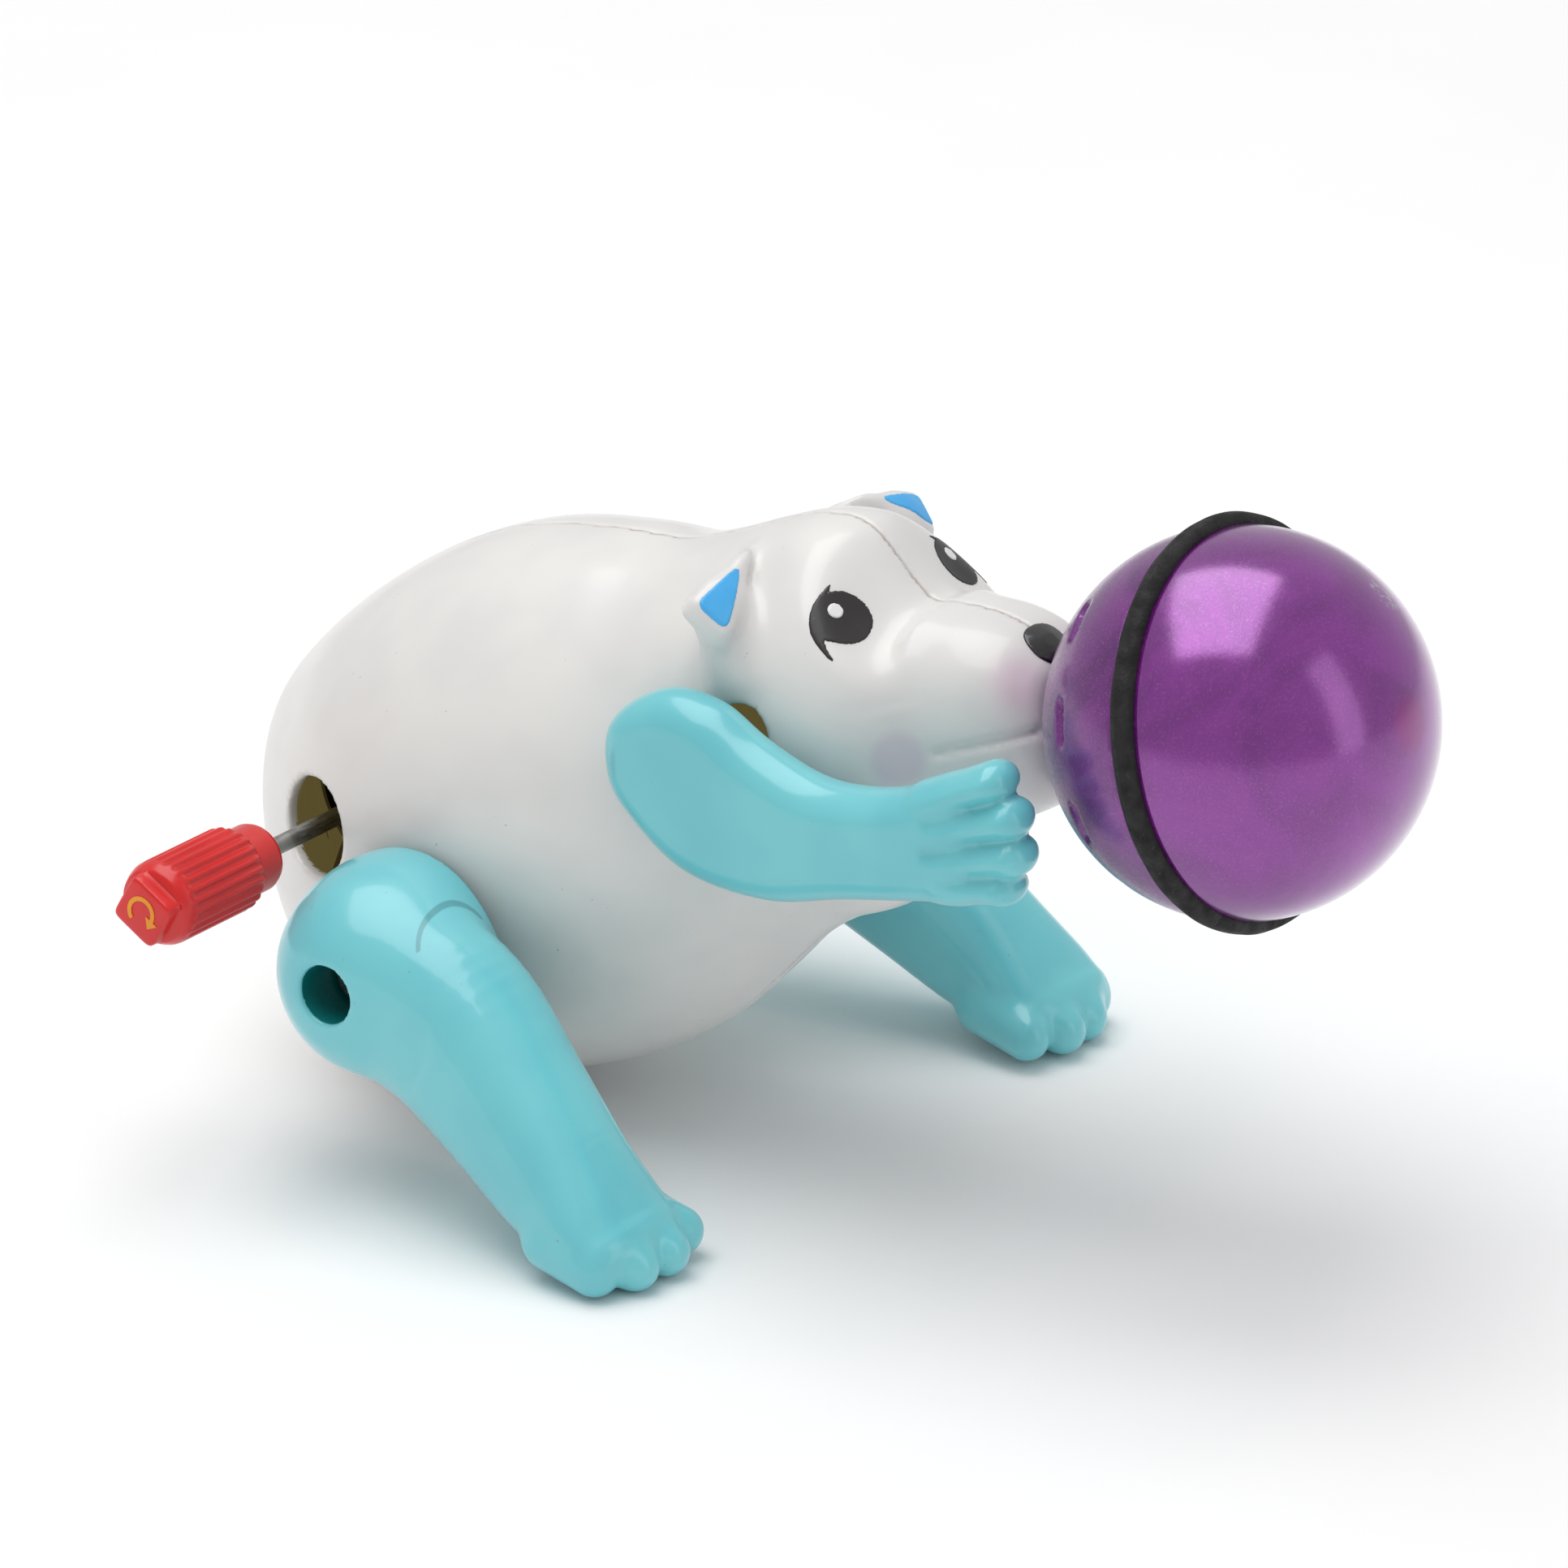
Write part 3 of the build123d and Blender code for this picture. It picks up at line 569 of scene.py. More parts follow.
# ---- head and body ------------------------------------------------------------------------------
WALL = 1.3
SEAM_GAP = 0.02
BODY_SECTIONS = np.array([         # x, centre z, half width, half height, squareness
    (-84.57, -4.3, 0.0, 0.0, 2.0),
    (-84.0, -4.4, 3.5, 5.0, 2.0),
    (-81.5, -5.9, 8.5, 11.6, 2.0),
    (-78.0, -6.7, 12.0, 15.2, 2.0),
    (-73.0, -6.2, 15.0, 17.6, 2.0),
    (-66.0, -4.9, 16.8, 19.1, 2.0),
    (-58.0, -3.9, 17.2, 19.6, 2.0),
    (-50.0, -3.0, 15.9, 18.2, 2.0),
    (-44.0, -1.7, 13.6, 16.0, 2.0),
    (-40.0, -0.2, 12.0, 14.9, 2.0),
    (-36.0, 1.0, 11.4, 14.4, 2.0),
    (-31.0, 1.7, 11.4, 14.1, 2.0),
    (-26.0, 2.1, 10.2, 11.9, 2.1),
    (-24.5, 1.9, 9.3, 10.7, 2.2),
    (-23.0, 1.3, 7.9, 9.2, 2.3),
    (-21.5, 0.9, 7.3, 8.4, 2.5),
    (-19.3, 1.15, 6.9, 7.45, 2.6),
    (-17.6, 1.1, 6.6, 6.9, 2.6),
    (-16.3, 0.95, 6.2, 6.35, 2.6),
    (-15.3, 0.75, 5.6, 5.75, 2.5),
    (-14.6, 0.6, 4.8, 5.0, 2.4),
    (-14.1, 0.5, 3.6, 3.8, 2.3),
])
MUZZLE_END = -14.1
TABLE_STEP = 0.1
TABLE_X = np.arange(-86.0, -10.0, TABLE_STEP)
SOFTENING = 7                      # rows of the table


def section_table():
    """Centre, half height squared, height over width, squareness and slope, for each x."""
    knots = BODY_SECTIONS[:, 0]
    columns = BODY_SECTIONS[:, 1:].copy()
    columns[:, 1] = columns[:, 1] ** 2
    columns[:, 2] = columns[:, 2] ** 2
    at = np.clip(TABLE_X, knots[0], knots[-1])
    rows = hermite(knots, columns, at)
    ends = np.minimum(TABLE_X - knots[0], 0)
    rows[:, 1] += ends * 21.5
    rows[:, 2] += ends * 43.9
    centre, width, height, square = blurred(rows, SOFTENING).T
    ratio = np.sqrt(np.maximum(height, 1.0) / np.maximum(width, 0.5))
    return np.stack([centre, height, ratio, square, np.gradient(height, TABLE_STEP)], 1)


SECTION_TABLE = section_table()


def sections(x, y, z):
    """Rough distance to the head and body swept along x through the section table."""
    i = np.clip((x - TABLE_X[0]) / TABLE_STEP, 0, len(TABLE_X) - 1.001)
    i0 = i.astype(int)
    row = SECTION_TABLE[i0] + (i - i0)[..., None] * (SECTION_TABLE[i0 + 1] - SECTION_TABLE[i0])
    centre, height, ratio, square, slope = np.moveaxis(row, -1, 0)
    a = np.abs(y * ratio) + 1e-6
    b = np.abs(z - centre) + 1e-6
    size = (a ** square + b ** square) ** (1 / square)
    tilt = np.hypot(ratio * (a / size) ** (square - 1), (b / size) ** (square - 1))
    return (size ** 2 - height) / np.sqrt((2 * size * tilt) ** 2 + slope ** 2 + 1.0)


# A shallow valley across the bridge, between the eyes
VALLEY_X = -24.8
VALLEY_DEPTH = 2.0
VALLEY_LENGTH = 2.4
VALLEY_WIDTH = 4.7
VALLEY_FLOOR_Z = 4
TAIL = (-82.6, 0, 1.2)
TAIL_R = 2.6

# Eye socket: a large ball that dishes the face round the printed eye
EYE = np.array((-27.3, 7.24, 10.5))
EYE_OUT = unit((0.82, 0.225, 0.527))
EYE_U = unit((-0.265, 0.964, 0.0))
EYE_V = np.cross(EYE_OUT, EYE_U)
DISH_R = 22.0
DISH_END = -23.4

# Ear: a rounded triangular pad on a short root
EAR_OUT = unit((0.832, 0.207, 0.515))
EAR_CORNERS = np.array(((-33.5, 8.2, 14.5), (-32.4, 12.3, 11.2), (-33.9, 13.0, 13.2)))
EAR_CENTRE = EAR_CORNERS.mean(0)
EAR_U = unit(EAR_CORNERS[1] - EAR_CORNERS[0])
EAR_V = np.cross(EAR_OUT, EAR_U)
EAR_PAD = 1.1
EAR_SHRINK = 0.58
EAR_ROUND = 0.95
EAR_ROOT = ((-34.8, 10.2, 12.0), (-34.4, 9.3, 7.6))
EAR_ROOT_R = (1.9, 2.0)

MOUTH = np.array((
    (-20.9, 7.15, 0.35), (-18.7, 6.8, 0.6), (-16.7, 6.3, 0.8), (-15.1, 5.3, 0.9), (-14.1, 3.6, 0.9)))
MOUTH_R = 0.22


def triangle_plan(u, v, corners):
    """Signed distance in a plane to a triangle given by its corners, anticlockwise."""
    outer = None
    for a, b in zip(corners, np.roll(corners, -1, 0)):
        run = unit(b - a)
        side = (u - a[0]) * run[1] - (v - a[1]) * run[0]
        outer = side if outer is None else smooth_common(outer, side, 0.8)
    return outer


def in_plane(x, y, z, centre, u, v, out):
    at = (x - centre[0], y - centre[1], z - centre[2])
    return [at[0] * d[0] + at[1] * d[1] + at[2] * d[2] for d in (u, v, out)]


EAR_PLAN = np.array([((c - EAR_CENTRE) @ EAR_U, (c - EAR_CENTRE) @ EAR_V) for c in EAR_CORNERS])


def ear(x, y, z):
    """Rounded triangular pad on its root, facing ahead and outwards."""
    u, v, out = in_plane(x, y, z, EAR_CENTRE, EAR_U, EAR_V, EAR_OUT)
    plan = triangle_plan(u, v, EAR_PLAN * EAR_SHRINK) - EAR_ROUND
    pad = rounded_slab(plan, np.abs(out + EAR_PAD) - EAR_PAD, 0.6)
    root = rod(x, y, z, *EAR_ROOT, *EAR_ROOT_R)
    return smooth_union(pad, root, 1.2)


def skin(x, y, z):
    """Outer surface of the head and body, before any hole."""
    y = np.abs(y)
    head = sections(x, y, z)
    valley = VALLEY_DEPTH * np.exp(
        -((x - VALLEY_X) / VALLEY_LENGTH) ** 2 - (y / VALLEY_WIDTH) ** 2)
    head = head + np.where(z > VALLEY_FLOOR_Z, valley, 0)
    head = smooth_common(head, x - MUZZLE_END, 0.5)
    dish = sphere(x, y, z, EYE + EYE_OUT * DISH_R, DISH_R)
    head = smooth_cut(head, smooth_common(dish, x - DISH_END, 2.0), 1.2)
    head = smooth_union(head, ear(x, y, z), 2.2)
    head = smooth_union(head, sphere(x, y, z, TAIL, TAIL_R), 2.0)
    for a, b in zip(MOUTH, MOUTH[1:]):
        head = smooth_cut(head, rod(x, y, z, a, b, MOUTH_R), 0.35)
    floor_z = BALL[2] + x * AHEAD[2] + z * UP[2]
    return smooth_common(head, -floor_z, 0.4)


SCREW_SPOTS = [(-60.5, -18.2), (-41, -9), (-43, 9), (-26, 6.5)]
COVERED_SPOTS = 1                  # the last screw ends under the skin beside the eye
SCREW_POST_R = 2.5
SCREW_HOLE_R = 0.8
SCREW_HEAD_R = 1.8
COUNTERBORE_Y = 5.0
HIP_POST_R = 3.4
HIP_POST_Y = 13.0
HIP_AXLE_HOLE_R = 2.05
SHOULDER_POST_R = 1.75
SHOULDER_POST_Y = 8.5
SHOULDER_HOLE_R = 2.15
SHOULDER_AXLE_HOLE_R = 1.05
SHOULDER_SLOT = (-34.0, 3.1)       # the hole runs on forwards to here
SHOULDER_SLOT_R = 2.3
MUZZLE_HOLE_R = 1.8
KEY_HOLE_R = 3.5
KEY_HOLE_Y = 5


def tube(x, z, centre, radius):
    """Endless round bar across the bear, parallel to y."""
    return np.hypot(x - centre[0], z - centre[1]) - radius


def smallest(fields):
    """All the fields' solids together, without rounding."""
    best = fields[0]
    for field in fields[1:]:
        best = np.minimum(best, field)
    return best


def half_shell(x, y, z, right):
    """Left half of the shell, mirrored for the right; only the right half has the key's hole."""
    outer = skin(x, y, z)
    hip = (HIP_X, HIP_Z)
    shoulder = (SHOULDER_X, SHOULDER_Z)
    posts = [np.maximum(tube(x, z, hip, HIP_POST_R), HIP_POST_Y - y),
             np.maximum(tube(x, z, shoulder, SHOULDER_POST_R), y - SHOULDER_POST_Y)]
    posts += [tube(x, z, spot, SCREW_POST_R) for spot in SCREW_SPOTS]
    walls = smallest([-(outer + WALL)] + posts)
    solid = smooth_common(outer, walls, 0.1)
    shoulder_hole = smooth_union(
        tube(x, z, shoulder, SHOULDER_HOLE_R), tube(x, z, SHOULDER_SLOT, SHOULDER_SLOT_R), 0.3)
    holes = [np.maximum(shoulder_hole, SHOULDER_POST_Y - y),
             tube(x, z, hip, HIP_AXLE_HOLE_R),
             tube(x, z, shoulder, SHOULDER_AXLE_HOLE_R),
             rod(x, y, z, (-20, 0, 0), (-10, 0, 0), MUZZLE_HOLE_R)]
    if right:
        holes.append(np.maximum(tube(x, z, (KEY_X, KEY_Z), KEY_HOLE_R), KEY_HOLE_Y - y))
    else:
        for spot in SCREW_SPOTS[:-COVERED_SPOTS]:
            holes.append(np.maximum(tube(x, z, spot, SCREW_HEAD_R), COUNTERBORE_Y - y))
            holes.append(tube(x, z, spot, SCREW_HOLE_R))
    solid = smooth_cut(solid, smallest(holes), 0.25)
    return smooth_common(solid, SEAM_GAP - y, 0.06)


VOXEL = 0.34
FINE = 0.14


def build_shell(right):
    side = "right" if right else "left"
    points, faces = surface(
        lambda x, y, z: half_shell(x, y, z, right),
        (-85.4, 0, -24.2), (-13.5, 17.6, 17.2), VOXEL, ease=3)
    depth = skin(*face_centres(points, faces).T)
    if right:
        points, faces = mirrored(points, faces)
    # faces deep inside the wall get the painted shade and painted glow of the shell's inside
    add_piece(
        f"bear_shell_{side}", to_row(points), faces, "body", (WHITE, SHELL_INSIDE_SHADE_AND_GLOW),
        (f"body_shell_{side}",), depth < -0.75 * WALL)


for right in (True, False):
    build_shell(right)


# ---- printed eyes, ears and nose ----------------------------------------------------------------
EYE_OVAL = [(-0.78, 1.54), (-1.62, 1.34), (-2.12, 0.96), (-2.59, 0.35), (-2.82, -0.33),
            (-2.81, -1.02), (-2.63, -1.56), (-2.24, -2.03), (-1.73, -2.37), (-1.22, -2.58),
            (-0.62, -2.64), (-0.12, -2.53), (0.38, -2.29), (0.84, -1.97), (1.35, -1.45),
            (1.34, -0.46), (0.97, 0.44), (0.16, 1.2)]
LASH = [(-1.43, 2.15), (-0.66, 1.91), (0.06, 1.59), (0.68, 1.2), (1.19, 0.69), (1.56, 0.12),
        (1.82, -0.56), (1.91, -1.3), (1.88, -2.0), (1.8, -2.75), (1.41, -3.63), (1.52, -2.98),
        (1.55, -2.37), (1.43, -1.72), (1.36, -1.32), (1.21, -0.77), (0.92, -0.01), (0.48, 0.7),
        (-0.11, 1.19), (-0.69, 1.51), (-0.87, 1.62), (-1.15, 1.87)]
GLINT_AT = (-0.46, 0.13)
GLINT_R = 0.57
PRINT_REACH = 1.3
BASE_LIFT = 0.3                    # how far a print reaches below the plastic's surface


def print_field(plan, centre, u, v, out, lift, dome=0.0):
    """A print: the plastic's skin raised by the lift inside a plan outline."""
    def field(x, y, z):
        a, b, height = in_plane(x, y, z, centre, u, v, out)
        edge = plan(a, b)
        base = skin(x, y, z)
        top = base - lift - dome * np.clip(-edge, 0, 1.2) / 1.2
        patch = smooth_common(top, edge, 0.06)
        return np.maximum(np.maximum(patch, -(base + BASE_LIFT)), np.abs(height) - PRINT_REACH)
    return field


def add_print(name, field, centre, reach, ink, sides=("right", "left"), voxel=FINE):
    points, faces = surface(field, centre - reach, centre + reach, voxel)
    for side in sides:
        made = mirrored(points, faces) if side == "right" else (points, faces)
        label = name if len(sides) == 1 else f"{name}_{side}"
        add_piece(label, to_row(made[0]), made[1], "body", (ink,))


eye_plan = outline_field(closed_curve(EYE_OVAL), 3.0, 0.04)
lash_plan = outline_field(np.array(LASH), 3.0, 0.04)
add_print(
    "eye",
    print_field(lambda a, b: np.minimum(eye_plan(a, b), lash_plan(a, b)),
                EYE, EYE_U, EYE_V, EYE_OUT, 0.05),
    EYE, 4.6, EYE_INK)
glint = EYE + GLINT_AT[0] * EYE_U + GLINT_AT[1] * EYE_V
add_print(
    "eye_glint",
    print_field(lambda a, b: np.hypot(a, b) - GLINT_R, glint, EYE_U, EYE_V, EYE_OUT, 0.11),
    glint, 1.6, GLINT_INK)
add_print(
    "ear_patch",
    print_field(lambda a, b: triangle_plan(a, b, EAR_PLAN) - 0.1,
                EAR_CENTRE, EAR_U, EAR_V, EAR_OUT, 0.06),
    EAR_CENTRE, 4.0, EAR_INK)

NOSE = np.array((-15.3, 0.0, 6.0))
NOSE_OUT = unit((0.75, 0, 0.66))
NOSE_U = np.array((0.0, 1.0, 0.0))
NOSE_V = np.cross(NOSE_OUT, NOSE_U)
NOSE_PLAN = [(-1.8, 0.2), (-1.45, 1.0), (-0.8, 1.4), (0.0, 1.5), (0.8, 1.4), (1.45, 1.0),
             (1.8, 0.2), (1.75, -0.8), (1.1, -1.6), (0.0, -1.9), (-1.1, -1.6), (-1.75, -0.8)]
add_print(
    "nose",
    print_field(outline_field(closed_curve(NOSE_PLAN), 3.0, 0.05),
                NOSE, NOSE_U, NOSE_V, NOSE_OUT, 0.12, 0.25),
    NOSE, 3.2, NOSE_INK, sides=("middle",))

# ---- arms ---------------------------------------------------------------------------------------
ARM_IN = 12.2
ARM_OUT = 17.4
ARM_MID = (ARM_IN + ARM_OUT) / 2
ARM_PLAN = [(-41.7, -0.6), (-37.6, -5.2), (-31.1, -7.4), (-24.5, -7.4), (-17, -7.6), (-13.9, -7.6),
            (-12.4, -5.8), (-12.1, -1), (-13.1, 0.8), (-15, 0.7), (-20, 0.3), (-25, 1.1),
            (-29.4, 3.7), (-32.8, 6.6), (-36.9, 7.7), (-41.3, 6.0), (-42.6, 2.6)]
FINGERS = [((-15.5, -0.6), (-10.1, 0.7), 1.45), ((-16, -2.6), (-9.5, -1.9), 1.5),
           ((-16, -4.7), (-9.8, -4.5), 1.5), ((-15.5, -6.3), (-11.0, -6.7), 1.3)]
FINGER_GROOVES = [((-14.6, -1.5), (-6.2, -0.2)), ((-15.3, -3.7), (-6.8, -3.2)),
                  ((-14.4, -5.9), (-7.8, -5.75))]
ARM_ROUNDING = 2.55
RELIEF_START = (-40.2, 3.0)
RELIEF_TURN = radians(48.2)
RELIEF_SLOPE = 0.5
BOSS_R = 1.85
BOSS_IN = 9.2
ARM_BORE_R = 1.05
ARM_BORE_FLOOR = 1.2               # plastic left over the end of the blind bore
GROOVE_R = (0.3, 0.75)
GROOVE_INSET = 0.1
arm_plan = outline_field(closed_curve(ARM_PLAN), blur=3.0)


def rod_plan(a, b, start, end, radius):
    return rod(a, b, 0, (*start, 0), (*end, 0), radius)


def arm(x, y, z):
    """Left arm: a flat rounded paw with a boss and blind bore for the shoulder's axle."""
    fingers = None
    for start, end, radius in FINGERS:
        finger = rod_plan(x, z, start, end, radius)
        fingers = finger if fingers is None else smooth_union(fingers, finger, 0.35)
    plan = smooth_union(arm_plan(x, z), fingers, 1.0)
    across = np.abs(y - ARM_MID) - (ARM_OUT - ARM_IN) / 2
    solid = rounded_slab(plan, across, ARM_ROUNDING)
    for start, end in FINGER_GROOVES:
        for level in (ARM_IN + GROOVE_INSET, ARM_OUT - GROOVE_INSET):
            groove = rod(
                x, y, z, (start[0], level, start[1]), (end[0], level, end[1]), *GROOVE_R)
            solid = smooth_cut(solid, groove, 0.7)
    back = (RELIEF_START[0] - x) * cos(RELIEF_TURN) + (RELIEF_START[1] - z) * sin(RELIEF_TURN)
    bevel = (y - ARM_IN - RELIEF_SLOPE * back) / np.hypot(1, RELIEF_SLOPE)
    solid = smooth_common(solid, -bevel, 0.5)
    shoulder = (SHOULDER_X, SHOULDER_Z)
    boss = np.maximum(tube(x, z, shoulder, BOSS_R),
                      np.abs(y - (BOSS_IN + ARM_MID) / 2) - (ARM_MID - BOSS_IN) / 2)
    solid = smooth_union(solid, boss, 0.2)
    bore = np.maximum(tube(x, z, shoulder, ARM_BORE_R), y - ARM_OUT + ARM_BORE_FLOOR)
    return smooth_cut(solid, bore, 0.15)


def build_arms():
    points, faces = surface(arm, (-43.4, BOSS_IN, -8.9), (-6.9, ARM_OUT, 9.0), VOXEL, ease=6)
    add_piece("bear_arm_left", to_row(points), faces, "arm_left", (BLUE,),
              ("arm_left",))
    points, faces = mirrored(points, faces)
    add_piece("bear_arm_right", to_row(points), faces, "arm_right", (BLUE,),
              ("arm_right",))


build_arms()

# ---- legs, in the row's own frame ---------------------------------------------------------------
LEG_IN = 17.7
LEG_OUT = 29.0
LEG_SPINE = np.array([             # x, z, distance from mid-plane, half width, half depth
    (9.7, 15.6, 23.0, 5.3, 6.6),
    (13.5, 15.0, 23.0, 5.4, 6.7),
    (17.5, 13.3, 23.4, 5.4, 6.3),
    (22.5, 9.7, 24.3, 5.1, 5.4),
    (27.5, 6.0, 25.3, 5.0, 4.5),
    (31.0, 3.9, 25.8, 5.3, 3.3),
    (33.0, 2.9, 25.9, 5.2, 2.5),
])
TOES = [((29.5, 21.9, 3.0), (34.0, 20.9, 2.1), 1.7), ((30.0, 24.3, 3.2), (35.0, 23.9, 1.9), 1.75),
        ((30.0, 26.8, 3.1), (34.7, 27.0, 1.8), 1.75), ((29.0, 29.0, 2.8), (33.2, 29.6, 1.8), 1.65)]
HUB_R = 7.5
HUB_Y = 20.0
HUB_DEEP = 9.2
HUB_BACK = 0.3                     # how far the hub's middle lies behind the hip's axle
HUB_REACH = (9, 15)                # from the hip's axle, where the flat outer face fades out
TOE_SWELL = 0.3
AXLE_BORE_R = 2.05
HIP_BORE_R = 2.15
HIP_BORE_Y = 23.6
spine_steps = np.linspace(0, 1, 31)
spine_knots = np.linspace(0, 1, len(LEG_SPINE))
SPINE = hermite(spine_knots, LEG_SPINE, spine_steps)
SQUARE = 2.4


def limb(x, y, z):
    """Swept limb whose sections are rounded ovals across the spine."""
    near = 100.0
    at = 0.0
    for i, (a, b) in enumerate(zip(SPINE, SPINE[1:])):
        run = b[:2] - a[:2]
        t = np.clip(((x - a[0]) * run[0] + (z - a[1]) * run[1]) / (run @ run), 0, 1)
        gap = np.hypot(x - a[0] - t * run[0], z - a[1] - t * run[1])
        at = np.where(gap < near, i + t, at)
        near = np.minimum(near, gap)
    i = np.minimum(at.astype(int), len(SPINE) - 2)
    row = SPINE[i] + (at - i)[..., None] * (SPINE[i + 1] - SPINE[i])
    middle, wide, deep = np.moveaxis(row[..., 2:], -1, 0)
    size = ((np.abs(y - middle) / wide) ** SQUARE + (near / deep) ** SQUARE) ** (1 / SQUARE)
    return (size - 1) * np.minimum(wide, deep)


def leg(x, y, z):
    """Left leg: round hub, swept shank and four toes, flat where it stands and at the hip."""
    hip = (HIP_ROW_X, HIP_ROW_Z)
    from_hub = tube(x, z, (HIP_ROW_X - HUB_BACK, HIP_ROW_Z), 0)
    hub = (np.sqrt((from_hub / HUB_R) ** 2 + ((y - HUB_Y) / HUB_DEEP) ** 2) - 1) * HUB_R
    solid = smooth_union(hub, limb(x, y, z), 1.6)
    toes = None
    for start, end, radius in TOES:
        toe = rod(x, y, z, start, end, radius + TOE_SWELL, radius)
        toes = toe if toes is None else smooth_union(toes, toe, 0.4)
    solid = smooth_union(solid, toes, 0.8)
    solid = smooth_common(solid, LEG_IN - y, 0.3)
    past_hub = 5 * np.clip(tube(x, z, hip, HUB_REACH[0]) / (HUB_REACH[1] - HUB_REACH[0]), 0, 1)
    solid = smooth_common(solid, y - LEG_OUT - past_hub, 1.0)
    bore = smooth_union(
        tube(x, z, hip, AXLE_BORE_R),
        np.maximum(tube(x, z, hip, HIP_BORE_R), HIP_BORE_Y - y), 0.05)
    solid = smooth_cut(solid, bore, 0.25)
    return smooth_common(solid, -z, 0.35)


def build_legs():
    points, faces = surface(leg, (1.6, LEG_IN, 0), (37.5, 32.2, 24.2), 0.85 * VOXEL, ease=6)
    centres = face_centres(points, faces)
    # faces inside the hip's bore get the painted shade
    from_bore = tube(centres[:, 0], centres[:, 2], (HIP_ROW_X, HIP_ROW_Z), HIP_BORE_R)
    in_bore = (from_bore < 0.05) & (centres[:, 1] < LEG_OUT - 0.6)
    add_piece("bear_leg_left", points, faces, "leg_left", (BLUE, HIP_BORE_SHADE),
              ("leg_left",), in_bore)
    points, faces = mirrored(points, faces)
    add_piece("bear_leg_right", points, faces, "leg_right", (BLUE, HIP_BORE_SHADE),
              ("leg_right",), in_bore)


build_legs()

# ---- ball ---------------------------------------------------------------------------------------
BALL_R = 13.5
BALL_WALL = 1.2
BALL_IN = BALL_R - BALL_WALL
RING_R = 0.95
RING_CENTRE_R = 13.45
SHAFT_R = 0.65
REAR_POST = (3.6, 0.5)
FRONT_BOSS = (2.9, 10.8)
RIM_X = 0.9 * RING_R               # where each half's outer skin ends beside the ring
GROOVE_DEPTH = 0.98
JOINT_FACE_R = 8                   # outside this the halves end at their joint, inside it is the post

PEARL_OUT = pearl(
    "purple_clear_skin", srgb(172, 46, 188), srgb(150, 28, 166), srgb(226, 170, 232), 0.25, 0.18,
    1.0, 0.6, (to_row((13.4, 0.6, -0.4)), 1.0, 2.6), to_row((10.2, 4.7, 7.4)))
PEARL_REAR = pearl(
    "purple_pearl_rear", srgb(128, 40, 140), srgb(98, 22, 112), srgb(190, 130, 205), 0.5, 0.35,
    0.9, 0.0)
PEARL_IN = pearl(
    "purple_pearl_inside", srgb(186, 62, 196), srgb(166, 44, 178), srgb(225, 170, 230), 0.1, 0.2,
    0.0, 0.6)


def arc(radius, start, end, count):
    """Stations on a circle about the ball's centre, polar angles in degrees from the front."""
    return [(radius * cos(radians(a)), radius * sin(radians(a)))
            for a in np.linspace(start, end, count)]


def front_stations():
    """Section of the ball's front half from its outer pole round to the boss inside it."""
    rim = np.degrees(np.arccos(RIM_X / BALL_R))
    boss_r, boss_end = FRONT_BOSS
    meet = np.degrees(np.arccos(np.sqrt(BALL_IN ** 2 - boss_r ** 2) / BALL_IN))
    outer = arc(BALL_R, 0, rim, 60)
    outer[0] = (outer[0][0], 0)
    lip = [(RIM_X * 0.98, outer[-1][1] - 0.12), (RIM_X * 0.98, BALL_R - 0.95),
           (0.02, BALL_R - GROOVE_DEPTH), (0.02, BALL_IN + 0.02)]
    inner = arc(BALL_IN, 89.7, meet, 50)
    tip = [(boss_end + 0.15, boss_r), (boss_end, boss_r - 0.15), (boss_end, 0)]
    return outer + lip + inner + tip


def build_ball_front():
    points, faces = lathe(front_stations(), 160, BALL, AHEAD, LEFT)
    depth = np.linalg.norm(np.array([points[list(f)].mean(0) for f in faces]) - BALL, axis=1)
    add_piece("ball_front", points, [f[::-1] for f in faces], "ball",
              (PEARL_OUT, PEARL_IN), ("ball_front_shell",), depth < BALL_R - 0.3)


build_ball_front()

SLOTS = 10
SLOT_POLAR = radians(29.5)         # of the slots' circle, from the ring's plane towards the rear
SLOT_HALF = radians(5.5)           # half of one slot's sweep round the shaft
SLOT_R = 0.5


def rear_half(x, y, z):
    """Rear half of the ball, with its post, its side of the ring's groove and shallow slots."""
    radius = np.sqrt(x ** 2 + y ** 2 + z ** 2)
    across = np.hypot(y, z)
    post = np.maximum(across - REAR_POST[0], x - REAR_POST[1])
    walls = np.minimum(BALL_IN - radius, post)
    solid = smooth_common(radius - BALL_R, walls, 0.1)
    solid = smooth_common(solid, np.where(across > JOINT_FACE_R, x + 0.01, -1), 0.1)
    groove = np.maximum(-x - RIM_X, BALL_R - GROOVE_DEPTH - across)
    solid = smooth_cut(solid, groove, 0.1)
    solid = smooth_cut(solid, np.maximum(across - SHAFT_R - 0.02, x + 1), 0.1)
    step = 2 * pi / SLOTS
    turn = np.abs((np.arctan2(z, y) + 2 * pi) % step - step / 2)
    around = BALL_R * cos(SLOT_POLAR) * np.maximum(turn - SLOT_HALF, 0)
    off = BALL_R * (np.arctan2(-x, across) - SLOT_POLAR)
    slot = np.sqrt(around ** 2 + off ** 2 + (radius - BALL_R) ** 2) - SLOT_R
    return smooth_cut(solid, slot, 0.15)


def build_ball_rear():
    points, faces = surface(rear_half, (-BALL_R, -BALL_R, -BALL_R), (REAR_POST[1], BALL_R, BALL_R),
                            VOXEL * 1.1)
    depth = np.linalg.norm(face_centres(points, faces), axis=1)
    add_piece("ball_rear", to_row(points), faces, "ball", (PEARL_REAR, PEARL_IN),
              ("ball_rear_shell",), depth < BALL_R - 0.3)


build_ball_rear()


